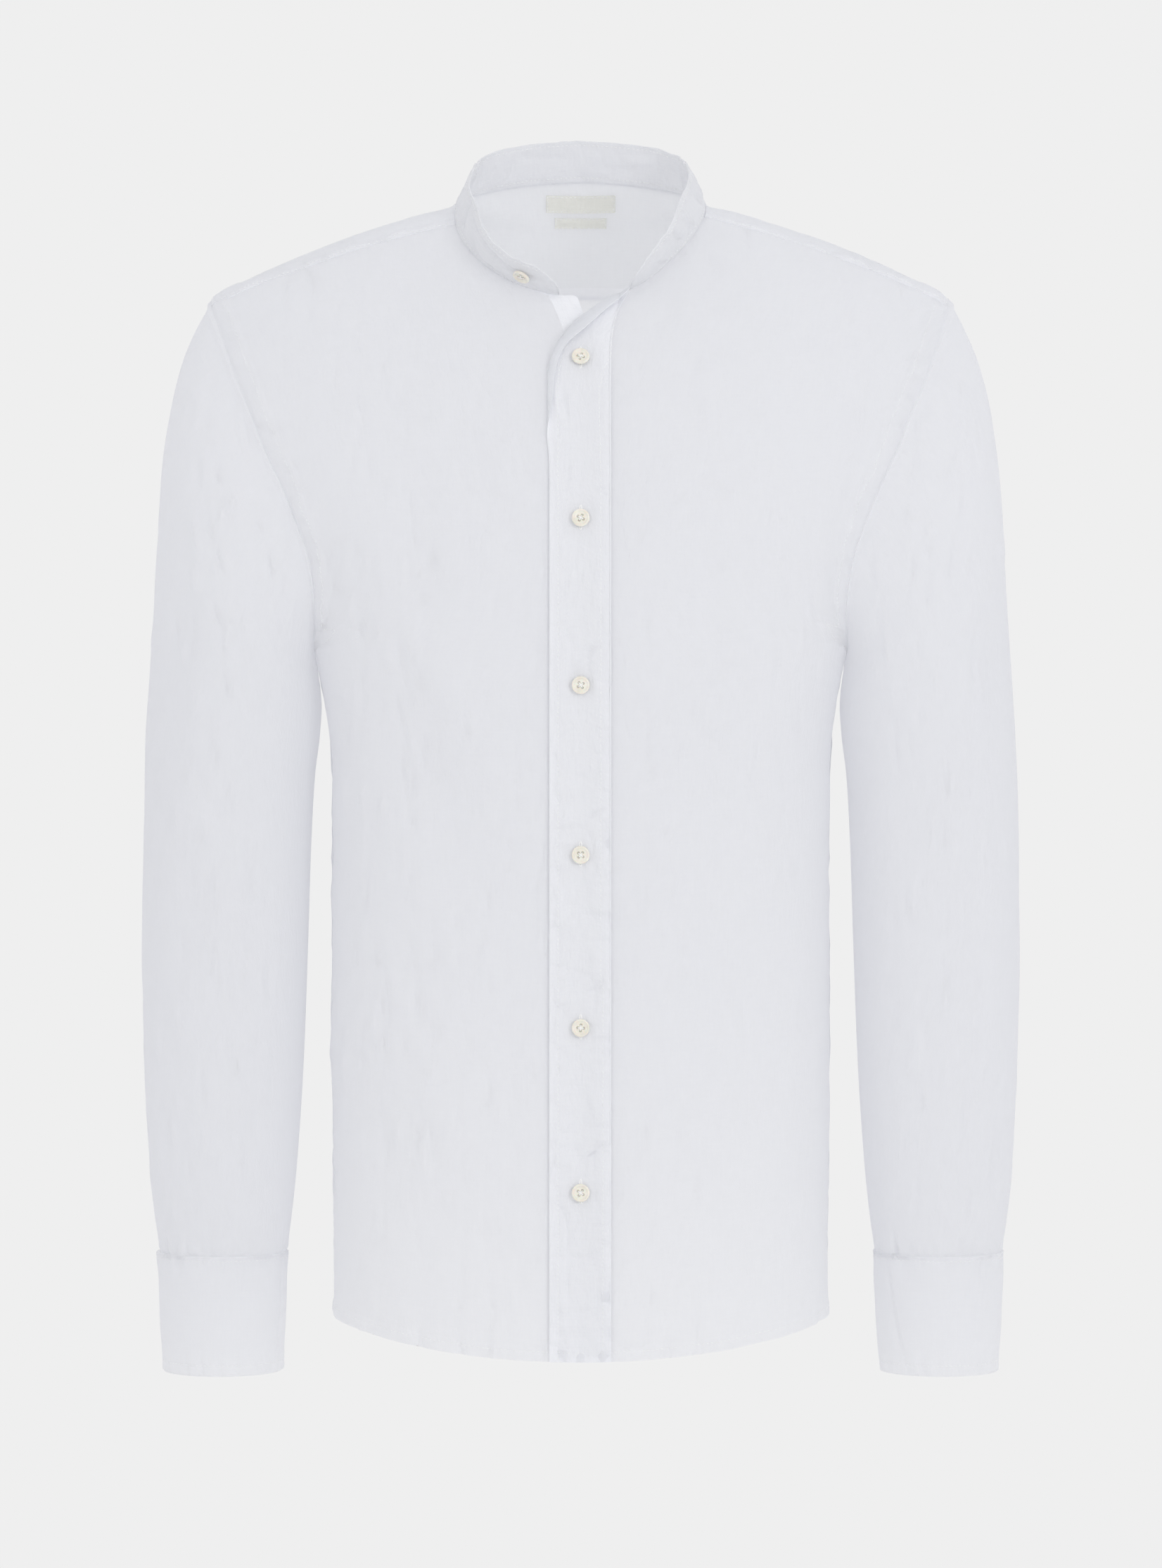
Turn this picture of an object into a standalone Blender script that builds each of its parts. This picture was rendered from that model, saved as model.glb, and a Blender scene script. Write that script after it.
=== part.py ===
"""A man's linen shirt with a band collar, open at the neck and filled out as it is worn.

Every cut piece of cloth is a thin closed wall of its own. It is worked out on the form of the body or of
the sleeve and stands a seam's width from its neighbours, so neck, hem, armholes and cuffs stay open.
Metres, +Z up, +X to the wearer's left, the front towards -Y. The origin is the middle of the neck, level
with the shoulder ends of the neckline.
"""
import math

import bmesh
import bpy
import numpy as np
from mathutils import Matrix, Vector

# ---- cloth ----
CLOTH = 0.0015           # wall of one layer with its seam allowances
DOUBLED = 0.0020         # wall of the folded band, cuffs and placket
LABEL_WALL = 0.0010
SEAM_GAP = 0.0003        # room between neighbouring pieces

# ---- heights and cuts ----
SHOULDER_TIP_Z = -0.061  # top of the armhole
UNDERARM_Z = -0.285
HEM_Z = -0.718           # lowest point of the hem, at the centre
HEM_RISE = 0.018         # how much higher the hem is at the side seams
ARMHOLE_FRONT_CUT = math.radians(35.0)   # how far the armhole is hollowed towards the chest
ARMHOLE_BACK_CUT = math.radians(28.0)
YOKE_FRONT_TURN = math.radians(18.0)     # where the yoke's front seam meets the armhole
YOKE_BACK_TURN = math.radians(-40.0)     # where its back seam does
YOKE_NECK_TURN = math.radians(105.0)     # where its front seam meets the neck, from the centre back
YOKE_FRONT_BOW = 0.004
YOKE_BACK_Z = -0.050     # height of the back yoke seam at the centre

# ---- neck ----
NECK_HALF = 0.082        # half the width of the neckline
NECK_BACK_Z = 0.022
NECK_BACK_ROUND = 1.15
NECK_TUCK = 0.045        # how much narrower the neckline is behind the shoulders than before them, as a share
NECK_TUCK_TURNS = (math.radians(87.0), math.radians(112.0))
NECK_DEPTH = {-1: 0.066, 1: 0.074}       # front depth, by side: -1 the wearer's right, 1 the left
NECK_ROUND = {-1: 2.0, 1: 1.5}
COLLAR_HEIGHT = 0.0285
COLLAR_CORNER = 0.025    # length over which the band's ends round off
COLLAR_END_HEIGHT = 0.15  # height left at the very end, as a share of the band's
COLLAR_END = {-1: math.radians(-170.5), 1: math.radians(151.3)}   # ends, from the centre back

# ---- front opening ----
OPENING_Z = -0.124       # below this the fronts are straight and buttoned
FRONT_LAP = 0.0175       # how far each front's straight edge passes the centre
FRONT_TOP_X = {-1: 0.003, 1: 0.027}      # where each edge meets the neck, towards its own side
FRONT_TOP_ROUND = {-1: 1.3, 1: 2.4}
UNDER_LAP_DEPTH = 0.0030  # how far the right front sinks where it passes under the left
UNDER_LAP_X = (-0.042, -0.020)           # it starts to sink at the first and lies deepest from the second
UNDER_LAP_Z = (-0.066, -0.077)
PLACKET_HALF = 0.019
PLACKET_LIP = 0.0015     # how far the placket passes the edge of the front it is sewn on
STRIP_TOP_X = 0.0300     # where the buttoned strip's inner edge meets the neck
STRIP_TOP_ROUND = 4.0
ROLL_HEIGHT = 0.0030     # how proud the placket's turned free edge stands near the neck
ROLL_WIDTH = 0.25        # as a share of the placket's width
ROLL_START, ROLL_RISE, ROLL_END = 0.30, 0.40, 0.15   # shares of the open part, from where it starts

# ---- sleeves ----
SLEEVE_LENGTH = 0.60     # down the fold tables
SLEEVE_FLAT = 0.060      # distance across the fold tables for each radian round the sleeve
SLEEVE_CROWDING = 1.2    # crowds the rings towards the armhole
SEAM_REACH = 0.24        # share of the sleeve over which it eases from the armhole's line to its own rings
FOLD_START, FOLD_END = 0.12, 0.06        # shares over which the folds rise below the armhole, fade at the cuff
BODY_SIDE = (-0.9, -0.4)  # cosines round the sleeve: no folds before the first, full ones after the second
FOLDED_BACK = (95.0, 170.0)              # degrees round the armhole: butted until the first, folded back after

# ---- small parts ----
BUTTON_RADIUS = 0.0055
BUTTON_SHANK = 0.0006    # room for the thread under a button
BUTTON_Z = (-0.107, -0.206, -0.307, -0.410, -0.515, -0.615)
COLLAR_BUTTON_TURN = math.radians(-154.5)
CUFF_TOP_Z = -0.6608
CUFF_DEPTH = 0.0750
CUFF_MIDDLE = (0.2253, -0.013)
CUFF_LAP_TURN = math.radians(290.0)      # where the lap begins, at the back of the wrist
CUFF_LAP = math.radians(29.0)
CUFF_RAMP = math.radians(24.0)
LABELS = {"label_main": (0.0225, 0.0140, 0.0040), "label_size": (0.0168, 0.0005, -0.0055)}

# ---- how finely each piece is divided ----
NECK_STEPS = 7            # along one front's neckline
FRONT_YOKE_STEPS = 7      # along a front yoke seam
BACK_YOKE_STEPS = 24
SIDE_STEPS = 13
FRONT_ARMHOLE_STEPS = 10
BACK_ARMHOLE_STEPS = 8
TIP_STEPS = 4             # along the yoke's share of an armhole
STRIP_STEPS = 4           # across the buttoned strip of a front
LEAST_STEP = 0.004        # points of a neckline nearer than this to the strip's edge are left out
EDGE_CROWDING = 0.3       # crowds the rows of a front towards the curved top of its edge
YOKE_FADE = 6             # how fast the bends of the front yoke seams die away across the yoke
SLEEVE_STEPS_DOWN = 20
CUFF_STEPS_ROUND, CUFF_STEPS_DOWN = 30, 2
COLLAR_STEPS_UP = 3
LABEL_STEPS = (8, 2)
BUTTON_STEPS = 16


def table(names, *rows):
    """A table with named columns, as one array per column."""
    return dict(zip(names.split(), np.array(rows, float).T))


# Level sections of the body, rounded ovals: half their width, and their depths before and behind y = 0.
BODY = table(
    "z half_width front back roundness",
    (-0.730, 0.1546, 0.1150, 0.1060, 2.40),
    (-0.640, 0.1554, 0.1138, 0.1030, 2.40),
    (-0.500, 0.1563, 0.1120, 0.0990, 2.40),
    (-0.360, 0.1563, 0.1130, 0.0970, 2.40),
    (-0.320, 0.1600, 0.1145, 0.0990, 2.40),
    (-0.285, 0.1672, 0.1150, 0.1020, 2.40),
    (-0.258, 0.1760, 0.1142, 0.1042, 2.35),
    (-0.225, 0.1920, 0.1130, 0.1062, 2.30),
    (-0.196, 0.2120, 0.1100, 0.1075, 2.20),
    (-0.149, 0.2380, 0.1010, 0.1080, 2.12),
    (-0.111, 0.2450, 0.0880, 0.1050, 2.05),
    (-0.075, 0.2390, 0.0690, 0.0990, 2.00),
    (-0.061, 0.2315, 0.0605, 0.0960, 2.00),
    (-0.045, 0.2030, 0.0520, 0.0920, 2.00),
    (-0.027, 0.1603, 0.0430, 0.0860, 2.00),
    (-0.009, 0.1070, 0.0345, 0.0785, 2.00),
    (0.000, 0.0785, 0.0300, 0.0740, 2.00),
    (0.022, 0.0785, 0.0200, 0.0580, 2.00),
)

# Rings of a sleeve, from the armhole (0) to the cuff seam (1): the ends of each ring's long axis on the
# outer and on the body side, the ring's middle in y, half its depth, and its roundness.
SLEEVE = table(
    "down outer_x outer_z inner_x inner_z middle_y half_depth roundness",
    (0.00, 0.2315, -0.0610, 0.1690, -0.2850, 0.000, 0.0690, 2.2),
    (0.03, 0.2405, -0.0770, 0.1686, -0.2885, 0.000, 0.0700, 2.2),
    (0.07, 0.2500, -0.0990, 0.1679, -0.2925, 0.000, 0.0715, 2.2),
    (0.12, 0.2575, -0.1280, 0.1672, -0.2970, 0.000, 0.0725, 2.2),
    (0.18, 0.2630, -0.1650, 0.1664, -0.3020, 0.001, 0.0730, 2.2),
    (0.25, 0.2665, -0.2130, 0.1655, -0.3090, 0.001, 0.0730, 2.2),
    (0.33, 0.2694, -0.2620, 0.1650, -0.3190, 0.002, 0.0715, 2.2),
    (0.41, 0.2728, -0.3110, 0.1662, -0.3370, 0.002, 0.0695, 2.2),
    (0.48, 0.2746, -0.3550, 0.1692, -0.3620, 0.002, 0.0670, 2.2),
    (0.56, 0.2756, -0.4050, 0.1715, -0.4050, 0.001, 0.0640, 2.2),
    (0.66, 0.2764, -0.4670, 0.1733, -0.4670, -0.001, 0.0600, 2.2),
    (0.78, 0.2746, -0.5410, 0.1758, -0.5410, -0.005, 0.0550, 2.2),
    (0.89, 0.2704, -0.6090, 0.1800, -0.6090, -0.009, 0.0480, 2.2),
    (0.95, 0.2664, -0.6465, 0.1840, -0.6465, -0.011, 0.0420, 2.2),
    (1.00, 0.2639, -0.6605, 0.1861, -0.6605, -0.012, 0.0385, 2.2),
)

# Level sections of a cuff, from its top edge (0) to its lower edge (1).
CUFF = table(
    "down half_width half_depth",
    (0.0, 0.0402, 0.0390),
    (0.5, 0.0388, 0.0370),
    (1.0, 0.0362, 0.0345),
)

# How far the band leans outwards, by angle from the centre back: in at the sides, fallen open in front.
COLLAR_LEAN = table(
    "turn lean",
    (0, -36), (55, -33), (82, -30), (96, -22), (108, -2), (118, 18), (133, 45), (150, 60), (171, 66),
)

# The largest soft folds of body and sleeves: the ends of each one's line, its half-width and its height.
# On the body the line is seen from the front or from behind (x, z). On a sleeve it is drawn on the flat
# cut: distance from the outer line towards the front, and distance down from the armhole.
FRONT_FOLDS = table(
    "x1 z1 x2 z2 spread height",
    (-0.150, -0.190, -0.020, -0.420, 0.016, 0.0028),
    (-0.140, -0.260, -0.030, -0.500, 0.018, -0.0024),
    (-0.110, -0.120, -0.085, -0.340, 0.016, -0.0022),
    (-0.120, -0.470, -0.060, -0.640, 0.022, 0.0022),
    (0.060, -0.130, 0.085, -0.330, 0.020, -0.0018),
    (0.140, -0.240, 0.095, -0.430, 0.018, 0.0022),
    (0.085, -0.440, 0.120, -0.640, 0.024, -0.0018),
)
BACK_FOLDS = table(
    "x1 z1 x2 z2 spread height",
    (-0.150, -0.230, -0.060, -0.420, 0.020, 0.0030),
    (0.145, -0.240, 0.050, -0.450, 0.020, 0.0030),
    (-0.060, -0.110, -0.075, -0.300, 0.020, -0.0024),
    (0.070, -0.120, 0.060, -0.320, 0.020, -0.0024),
    (-0.100, -0.460, -0.040, -0.640, 0.026, 0.0024),
    (0.110, -0.440, 0.060, -0.650, 0.026, -0.0024),
)
SLEEVE_FOLDS = {
    -1: table(
        "across1 down1 across2 down2 spread height",
        (0.050, 0.090, 0.085, 0.300, 0.014, -0.0024),
        (0.095, 0.190, 0.060, 0.420, 0.016, 0.0026),
        (0.130, 0.300, 0.085, 0.500, 0.016, -0.0024),
        (0.030, 0.420, 0.050, 0.580, 0.016, 0.0022),
        (-0.100, 0.150, -0.060, 0.360, 0.018, 0.0028),
        (-0.060, 0.380, -0.095, 0.540, 0.018, -0.0024),
    ),
    1: table(
        "across1 down1 across2 down2 spread height",
        (0.060, 0.120, 0.095, 0.290, 0.014, 0.0022),
        (0.125, 0.240, 0.090, 0.420, 0.016, -0.0024),
        (0.050, 0.340, 0.060, 0.540, 0.018, 0.0022),
        (0.110, 0.440, 0.095, 0.590, 0.014, -0.0020),
        (-0.095, 0.140, -0.070, 0.330, 0.018, 0.0028),
        (-0.055, 0.360, -0.090, 0.520, 0.018, -0.0024),
    ),
}

FOLD_FADE_Y = 0.050      # depth over which the body's folds fade towards the side seams

LINEN = ("linen", (0.78, 0.79, 0.82), 0.9)
LINEN_DOUBLED = ("linen_doubled", (0.80, 0.81, 0.84), 0.9)
BUTTON_RESIN = ("button_resin", (0.84, 0.82, 0.72), 0.35)
LABEL_WEAVE = ("label_weave", (0.72, 0.74, 0.71), 0.8)


# ---- reading tables and working on grids of points ----

def smooth(xs, ys, at):
    """A curve through the points (xs, ys) that never swings past them, read at `at`."""
    step = np.diff(xs)
    slope = np.diff(ys) / step
    before, after = slope[:-1], slope[1:]
    same_way = before * after > 0
    total = np.where(same_way, before + after, 1.0)
    tangent = np.concatenate((slope[:1], np.where(same_way, 2 * before * after / total, 0.0), slope[-1:]))
    at = np.clip(at, xs[0], xs[-1])
    i = np.clip(np.searchsorted(xs, at) - 1, 0, len(step) - 1)
    t = (at - xs[i]) / step[i]
    rise = 3 * t ** 2 - 2 * t ** 3
    return (ys[i] * (1 - rise) + ys[i + 1] * rise
            + step[i] * (tangent[i] * t * (1 - t) ** 2 - tangent[i + 1] * t ** 2 * (1 - t)))


def read(sheet, at):
    """Every column of a table after the first, read smoothly at values of the first."""
    first, *others = sheet.values()
    return [smooth(first, column, at) for column in others]


def unit(vectors):
    return vectors / np.linalg.norm(vectors, axis=-1, keepdims=True)


def ease(value):
    """0 up to 0, 1 from 1 on, and a soft S between."""
    value = np.clip(value, 0.0, 1.0)
    return value * value * (3 - 2 * value)


def power(value, exponent):
    """A power that keeps the sign of its base."""
    return np.sign(value) * np.abs(value) ** exponent


def path_directions(points):
    return unit(np.gradient(points, axis=0))


def joined(first, *others):
    """Lines that follow each other, as one: each next one starts where the last ends."""
    return np.concatenate([first] + [line[1:] for line in others])


def between_edges(bottom, top, left, right, fade=1):
    """A grid of points between four edges that meet at their ends, ruled straight from bottom to top.

    The bends of the left and right edges die away across it, the faster the larger `fade` is.
    """
    u = np.linspace(0, 1, len(bottom))[:, None, None]
    v = np.linspace(0, 1, len(left))[None, :, None]
    ruled = (1 - v) * bottom[:, None] + v * top[:, None]
    return ruled + (1 - u) ** fade * (left - ruled[0]) + u ** fade * (right - ruled[-1])


def drawn_in(grid, distance=SEAM_GAP / 2):
    """The grid with its edges pulled inwards along the cloth, half a seam gap."""
    grid = grid.copy()
    grid[:, 0] += distance * unit(grid[:, 1] - grid[:, 0])
    grid[:, -1] += distance * unit(grid[:, -2] - grid[:, -1])
    grid[0] += distance * unit(grid[1] - grid[0])
    grid[-1] += distance * unit(grid[-2] - grid[-1])
    return grid


def folds(sheet, across, down):
    """Height of the soft folds in a table at flat places: a bell across each line, fading at its ends."""
    height = np.zeros(np.broadcast(across, down).shape)
    for a1, d1, a2, d2, spread, rise in zip(*sheet.values()):
        length = math.hypot(a2 - a1, d2 - d1)
        way = ((a2 - a1) / length, (d2 - d1) / length)
        along = ((across - a1) * way[0] + (down - d1) * way[1]) / length
        beside = (across - a1) * way[1] - (down - d1) * way[0]
        height += rise * np.exp(-(beside / spread) ** 2) * ease(2 * along) * ease(2 - 2 * along)
    return height


# ---- the form of the body ----

def body_fill(points):
    """How full the body's form is at each point: less than 1 inside it, 1 on it."""
    x, y, z = np.moveaxis(points, -1, 0)
    half_width, front, back, roundness = read(BODY, z)
    depth = np.where(y < 0, front, back)
    return np.abs(x / half_width) ** roundness + np.abs(y / depth) ** roundness


def body_normal(points):
    """The unit direction straight out of the form."""
    reach = 0.0006   # small beside the form's own bends
    slope = [body_fill(points + reach * axis) - body_fill(points - reach * axis) for axis in np.eye(3)]
    return unit(np.stack(slope, axis=-1))


def body_point(turn, z, side=1):
    """The form at a height and an angle: 0 the centre front, pi/2 the side, pi the centre back."""
    half_width, front, back, roundness = read(BODY, z)
    depth = np.where(np.cos(turn) > 0, front, back)
    x = side * half_width * power(np.sin(turn), 2 / roundness)
    y = -depth * power(np.cos(turn), 2 / roundness)
    return np.stack(np.broadcast_arrays(x, y, z), axis=-1)


def body_seen(x, z, face):
    """The form where x and z are known, on its front (face -1) or its back (face 1)."""
    half_width, front, back, roundness = read(BODY, z)
    depth = np.where(face < 0, front, back)
    rest = np.clip(1 - np.abs(x / half_width) ** roundness, 0.0, 1.0)
    return np.stack(np.broadcast_arrays(x, face * depth * rest ** (1 / roundness), z), axis=-1)


def body_place(points, side=1):
    """Where points of the form lie: their angle, from just before 0 to nearly 2 pi, and their height."""
    x, y, z = np.moveaxis(points, -1, 0)
    half_width, front, back, roundness = read(BODY, z)
    depth = np.where(y < 0, front, back)
    turn = np.arctan2(power(side * x / half_width, roundness / 2), -power(y / depth, roundness / 2))
    past_centre = -0.3
    return np.stack((np.where(turn < past_centre, turn + 2 * math.pi, turn), z), axis=-1)


def body_panel(bottom, top, left, right, side=1):
    """A grid of the form's points between four edges, which lie on the form."""
    flat = between_edges(*[body_place(edge, side) for edge in (bottom, top, left, right)])
    return body_point(flat[..., 0], flat[..., 1], side)


def body_folds(points):
    """Height of the body's folds, which fade towards the side seams."""
    x, y, z = np.moveaxis(points, -1, 0)
    seen = ease(np.abs(y) / FOLD_FADE_Y)
    return seen * np.where(y < 0, folds(FRONT_FOLDS, x, z), folds(BACK_FOLDS, x, z))


def body_layer(points, lift=0.0):
    """Points of the form with its folds, lifted off it by a distance."""
    return points + (body_folds(points) + lift)[..., None] * body_normal(points)


# ---- seam lines ----

# Where the points of the armholes are: the same ones serve the pieces on both sides of the seam.
FRONT_TURNS = np.linspace(YOKE_FRONT_TURN, math.pi, FRONT_ARMHOLE_STEPS + 1)
BACK_TURNS = np.linspace(YOKE_BACK_TURN, -math.pi, BACK_ARMHOLE_STEPS + 1)
TIP_TURNS = np.linspace(YOKE_FRONT_TURN, YOKE_BACK_TURN, TIP_STEPS + 1)


def armhole(turn, side):
    """The armhole: 0 at the shoulder tip, pi/2 at the front, pi under the arm, 3 pi/2 at the back."""
    z = UNDERARM_Z + (SHOULDER_TIP_Z - UNDERARM_Z) * (1 + np.cos(turn)) / 2
    cut = np.where(np.sin(turn) > 0, ARMHOLE_FRONT_CUT, ARMHOLE_BACK_CUT) * np.sin(turn)
    return body_point(math.pi / 2 - cut, z, side)


def neckline(turn):
    """The neckline by angle from the centre back, positive towards the wearer's left."""
    side = np.where(turn < 0, -1, 1)
    depth = np.where(turn < 0, NECK_DEPTH[-1], NECK_DEPTH[1])
    round_off = np.where(turn < 0, NECK_ROUND[-1], NECK_ROUND[1])
    front = np.cos(turn) < 0
    x = side * NECK_HALF * np.abs(np.sin(turn)) ** np.where(front, 2 / round_off, 1.0)
    behind, before = NECK_TUCK_TURNS
    x = x * (1 - NECK_TUCK * ease((before - np.abs(turn)) / (before - behind)))
    z_front = -depth * np.abs(np.cos(turn)) ** (2 / round_off)
    z_back = NECK_BACK_Z * np.abs(np.cos(turn)) ** NECK_BACK_ROUND
    return body_seen(x, np.where(front, z_front, z_back), np.where(front, -1, 1))


def neck_turn(x, side):
    """The neckline's angle where it passes x in front, towards its own side."""
    return side * (math.pi - math.asin((x / NECK_HALF) ** (NECK_ROUND[side] / 2)))


def front_neck_turns(side):
    """Where the points of a front's neckline are, from its edge to the yoke seam."""
    return np.linspace(neck_turn(FRONT_TOP_X[side], side), side * YOKE_NECK_TURN, NECK_STEPS + 1)


def yoke_neck_turns():
    steps = 2 * TIP_STEPS + BACK_YOKE_STEPS
    return np.linspace(-YOKE_NECK_TURN, YOKE_NECK_TURN, steps + 1)


def front_yoke_seam(side):
    """The yoke's front seam, from the neck to the armhole."""
    start = neckline(np.array(side * YOKE_NECK_TURN))
    end = armhole(np.array(YOKE_FRONT_TURN), side)
    share = np.linspace(0, 1, FRONT_YOKE_STEPS + 1)
    x = start[0] + (end[0] - start[0]) * share
    z = start[2] + (end[2] - start[2]) * share + 4 * YOKE_FRONT_BOW * share * (1 - share)
    return body_seen(x, z, -1)


def back_yoke_seam():
    """The yoke's back seam, from the right armhole to the left."""
    end = armhole(np.array(YOKE_BACK_TURN), 1)
    x = np.linspace(-end[0], end[0], BACK_YOKE_STEPS + 1)
    z = YOKE_BACK_Z + (end[2] - YOKE_BACK_Z) * (x / end[0]) ** 2
    return body_seen(x, z, 1)


def hem_height(turn):
    """The hem is lowest at the centres and rises in a soft arc to the side seams."""
    roundness = BODY["roundness"][0]
    return HEM_Z + HEM_RISE * np.abs(np.sin(turn)) ** (4 / roundness)


def side_seam(side):
    """The side seam, from the hem to under the arm."""
    z = np.linspace(hem_height(math.pi / 2), UNDERARM_Z, SIDE_STEPS + 1)
    return body_point(np.full_like(z, math.pi / 2), z, side)


def opening_share(z):
    """How far up the open part of the front each height is: 0 where it starts, 1 at the neck."""
    top = neckline(np.array(neck_turn(FRONT_TOP_X[1], 1)))[2]
    return np.clip((z - OPENING_Z) / (top - OPENING_Z), 0, 1)


def front_edge(side, z):
    """Where a front's edge is at each height: past the centre below, drawn to its own side above."""
    share = opening_share(z) ** FRONT_TOP_ROUND[side]
    return side * (-FRONT_LAP + (FRONT_TOP_X[side] + FRONT_LAP) * share)


def strip_edge(side, z):
    """The inner edge of the buttoned strip: straight below, and swept up to the band's end."""
    share = opening_share(z)
    return side * (PLACKET_HALF + (STRIP_TOP_X - PLACKET_HALF) * share ** STRIP_TOP_ROUND)


# ---- making the solids ----

def material(name, colour, roughness):
    """One plain finish, shared by the pieces that are made of it."""
    found = bpy.data.materials.get(name)
    if found:
        return found
    made = bpy.data.materials.new(name)
    made.use_nodes = True
    shader = made.node_tree.nodes["Principled BSDF"]
    shader.inputs["Base Color"].default_value = (*colour, 1.0)
    shader.inputs["Roughness"].default_value = roughness
    shader.inputs["Metallic"].default_value = 0.0
    return made


def add_object(name, mesh, finish):
    mesh.materials.append(material(*finish))
    piece = bpy.data.objects.new(name, mesh)
    bpy.context.collection.objects.link(piece)
    return piece


def cloth(name, outer, inner, finish, closed=False):
    """A closed wall between two matching grids of points; a closed one joins up round its first way."""
    across, down = outer.shape[:2]
    index = np.arange(across * down).reshape(across, down)
    if closed:
        index = np.concatenate((index, index[:1]))
    a, b, c, d = index[:-1, :-1], index[1:, :-1], index[1:, 1:], index[:-1, 1:]
    points = outer.reshape(-1, 3)
    shorter = np.linalg.norm(points[a] - points[c], axis=-1) < np.linalg.norm(points[b] - points[d], axis=-1)
    first, second = np.where(shorter, (a, b, c), (a, b, d)), np.where(shorter, (a, c, d), (b, c, d))
    under = across * down
    corners = [first, second, first[::-1] + under, second[::-1] + under]
    rims = [(b[:, 0], a[:, 0]), (d[:, -1], c[:, -1])]
    if not closed:
        rims += [(a[0], d[0]), (c[-1], b[-1])]
    for start, end in rims:
        corners += [(start, end, end + under), (start, end + under, start + under)]
    faces = np.concatenate([np.stack(three, axis=-1).reshape(-1, 3) for three in corners])
    i, j = across // 2, down // 2
    turned = np.cross(outer[i + 1, j] - outer[i, j], outer[i, j + 1] - outer[i, j])
    if np.dot(turned, outer[i, j] - inner[i, j]) < 0:
        faces = faces[:, ::-1]
    mesh = bpy.data.meshes.new(name)
    mesh.from_pydata(np.concatenate((outer.reshape(-1, 3), inner.reshape(-1, 3))).tolist(), [], faces.tolist())
    mesh.shade_smooth()
    mesh.set_sharp_from_angle(angle=math.radians(40))
    return add_object(name, mesh, finish)


def body_cloth(name, grid, finish=LINEN, lift=0.0, wall=CLOTH, sink=None):
    """A piece that lies on the body's form, lifted off it or sunk into it."""
    middle = lift if sink is None else lift - sink(grid)
    return cloth(name, body_layer(grid, middle + wall / 2), body_layer(grid, middle - wall / 2), finish)


def under_lap(points):
    """How deep the right front lies under the left one, along the closed part of the opening."""
    x, z = points[..., 0], points[..., 2]
    (x_start, x_deep), (z_start, z_deep) = UNDER_LAP_X, UNDER_LAP_Z
    return UNDER_LAP_DEPTH * ease((x - x_start) / (x_deep - x_start)) * ease((z - z_start) / (z_deep - z_start))


def front_grids(side):
    """A front's points: its buttoned strip, and the rest of it out to the side seam and the armhole."""
    outer = joined(side_seam(side), armhole(FRONT_TURNS[::-1], side))
    way = np.linspace(0, 1, len(outer))
    share = way + EDGE_CROWDING * way ** 2 * (1 - way)

    neck = neckline(front_neck_turns(side))
    strip_turn = neck_turn(STRIP_TOP_X, side)
    strip_top = neckline(np.linspace(front_neck_turns(side)[0], strip_turn, STRIP_STEPS + 1))
    beyond = side * neck[:, 0] > STRIP_TOP_X + LEAST_STEP
    top = joined(strip_top[-1:], np.concatenate((strip_top[-1:], neck[beyond])), front_yoke_seam(side))

    lines = []
    for edge, end in ((front_edge, strip_top[0]), (strip_edge, strip_top[-1])):
        low = body_seen(edge(side, HEM_Z), HEM_Z, -1)
        foot = hem_height(body_place(low, side)[0])
        z = foot + (end[2] - foot) * share
        lines.append(body_seen(edge(side, z), z, -1))
        lines[-1][-1] = end
    turns = [body_place(line[0], side)[0] for line in lines] + [math.pi / 2]
    strip_hem = np.linspace(turns[0], turns[1], STRIP_STEPS + 1)
    hem = np.linspace(turns[1], turns[2], len(top))
    strip = body_panel(body_point(strip_hem, hem_height(strip_hem), side), strip_top, *lines, side)
    rest = body_panel(body_point(hem, hem_height(hem), side), top, lines[1], outer, side)
    return strip, rest


def make_front(side):
    """A front, with its buttoned strip; the right one sinks under the left."""
    name, sink = ("front_left", None) if side > 0 else ("front_right", under_lap)
    body_cloth(name, drawn_in(joined(*front_grids(side))), sink=sink)


def make_back():
    """The back: hem, side seams and armholes, and the back yoke seam."""
    right = joined(side_seam(-1), armhole(BACK_TURNS[::-1], -1))
    turns = np.linspace(1.5 * math.pi, 0.5 * math.pi, BACK_YOKE_STEPS + 1)
    bottom = body_point(turns, hem_height(turns))
    body_cloth("back", drawn_in(body_panel(bottom, back_yoke_seam(), right, right * (-1, 1, 1))))


def yoke_grid():
    """The yoke's points, the neckline first, the armhole tips and the back seam last.

    They are spaced by the run down the shoulder's outline, since the yoke lies nearly level.
    """
    heights = np.linspace(BODY["z"][0], BODY["z"][-1], 401)
    run = np.cumsum(np.hypot(np.gradient(heights), np.gradient(read(BODY, heights)[0])))
    tip = armhole(TIP_TURNS, -1)
    outside = joined(tip, back_yoke_seam(), tip[::-1] * (-1, 1, 1))
    edges = [body_place(edge) for edge in
             (neckline(yoke_neck_turns()), outside, front_yoke_seam(-1), front_yoke_seam(1))]
    for edge in edges:
        edge[:, 1] = np.interp(edge[:, 1], heights, run)
    flat = between_edges(*edges, fade=YOKE_FADE)
    return body_point(flat[..., 0], np.interp(flat[..., 1], run, heights))


def make_placket():
    """The placket on the left front: its strip moved out, a lip past the edge, turned out near the neck."""
    grid = drawn_in(front_grids(1)[0])
    grid[0] -= (PLACKET_LIP + SEAM_GAP / 2) * unit(grid[1] - grid[0])
    share = opening_share(grid[..., 2])
    across = np.linspace(0, 1, STRIP_STEPS + 1)[:, None]
    rolled = ROLL_HEIGHT * ease((share - ROLL_START) / ROLL_RISE) * ease((1 - share) / ROLL_END)
    rolled = rolled * np.exp(-(across / ROLL_WIDTH) ** 2)
    lift = CLOTH / 2 + SEAM_GAP
    cloth("placket", body_layer(grid, lift + DOUBLED + rolled), body_layer(grid, lift), LINEN_DOUBLED)


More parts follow.
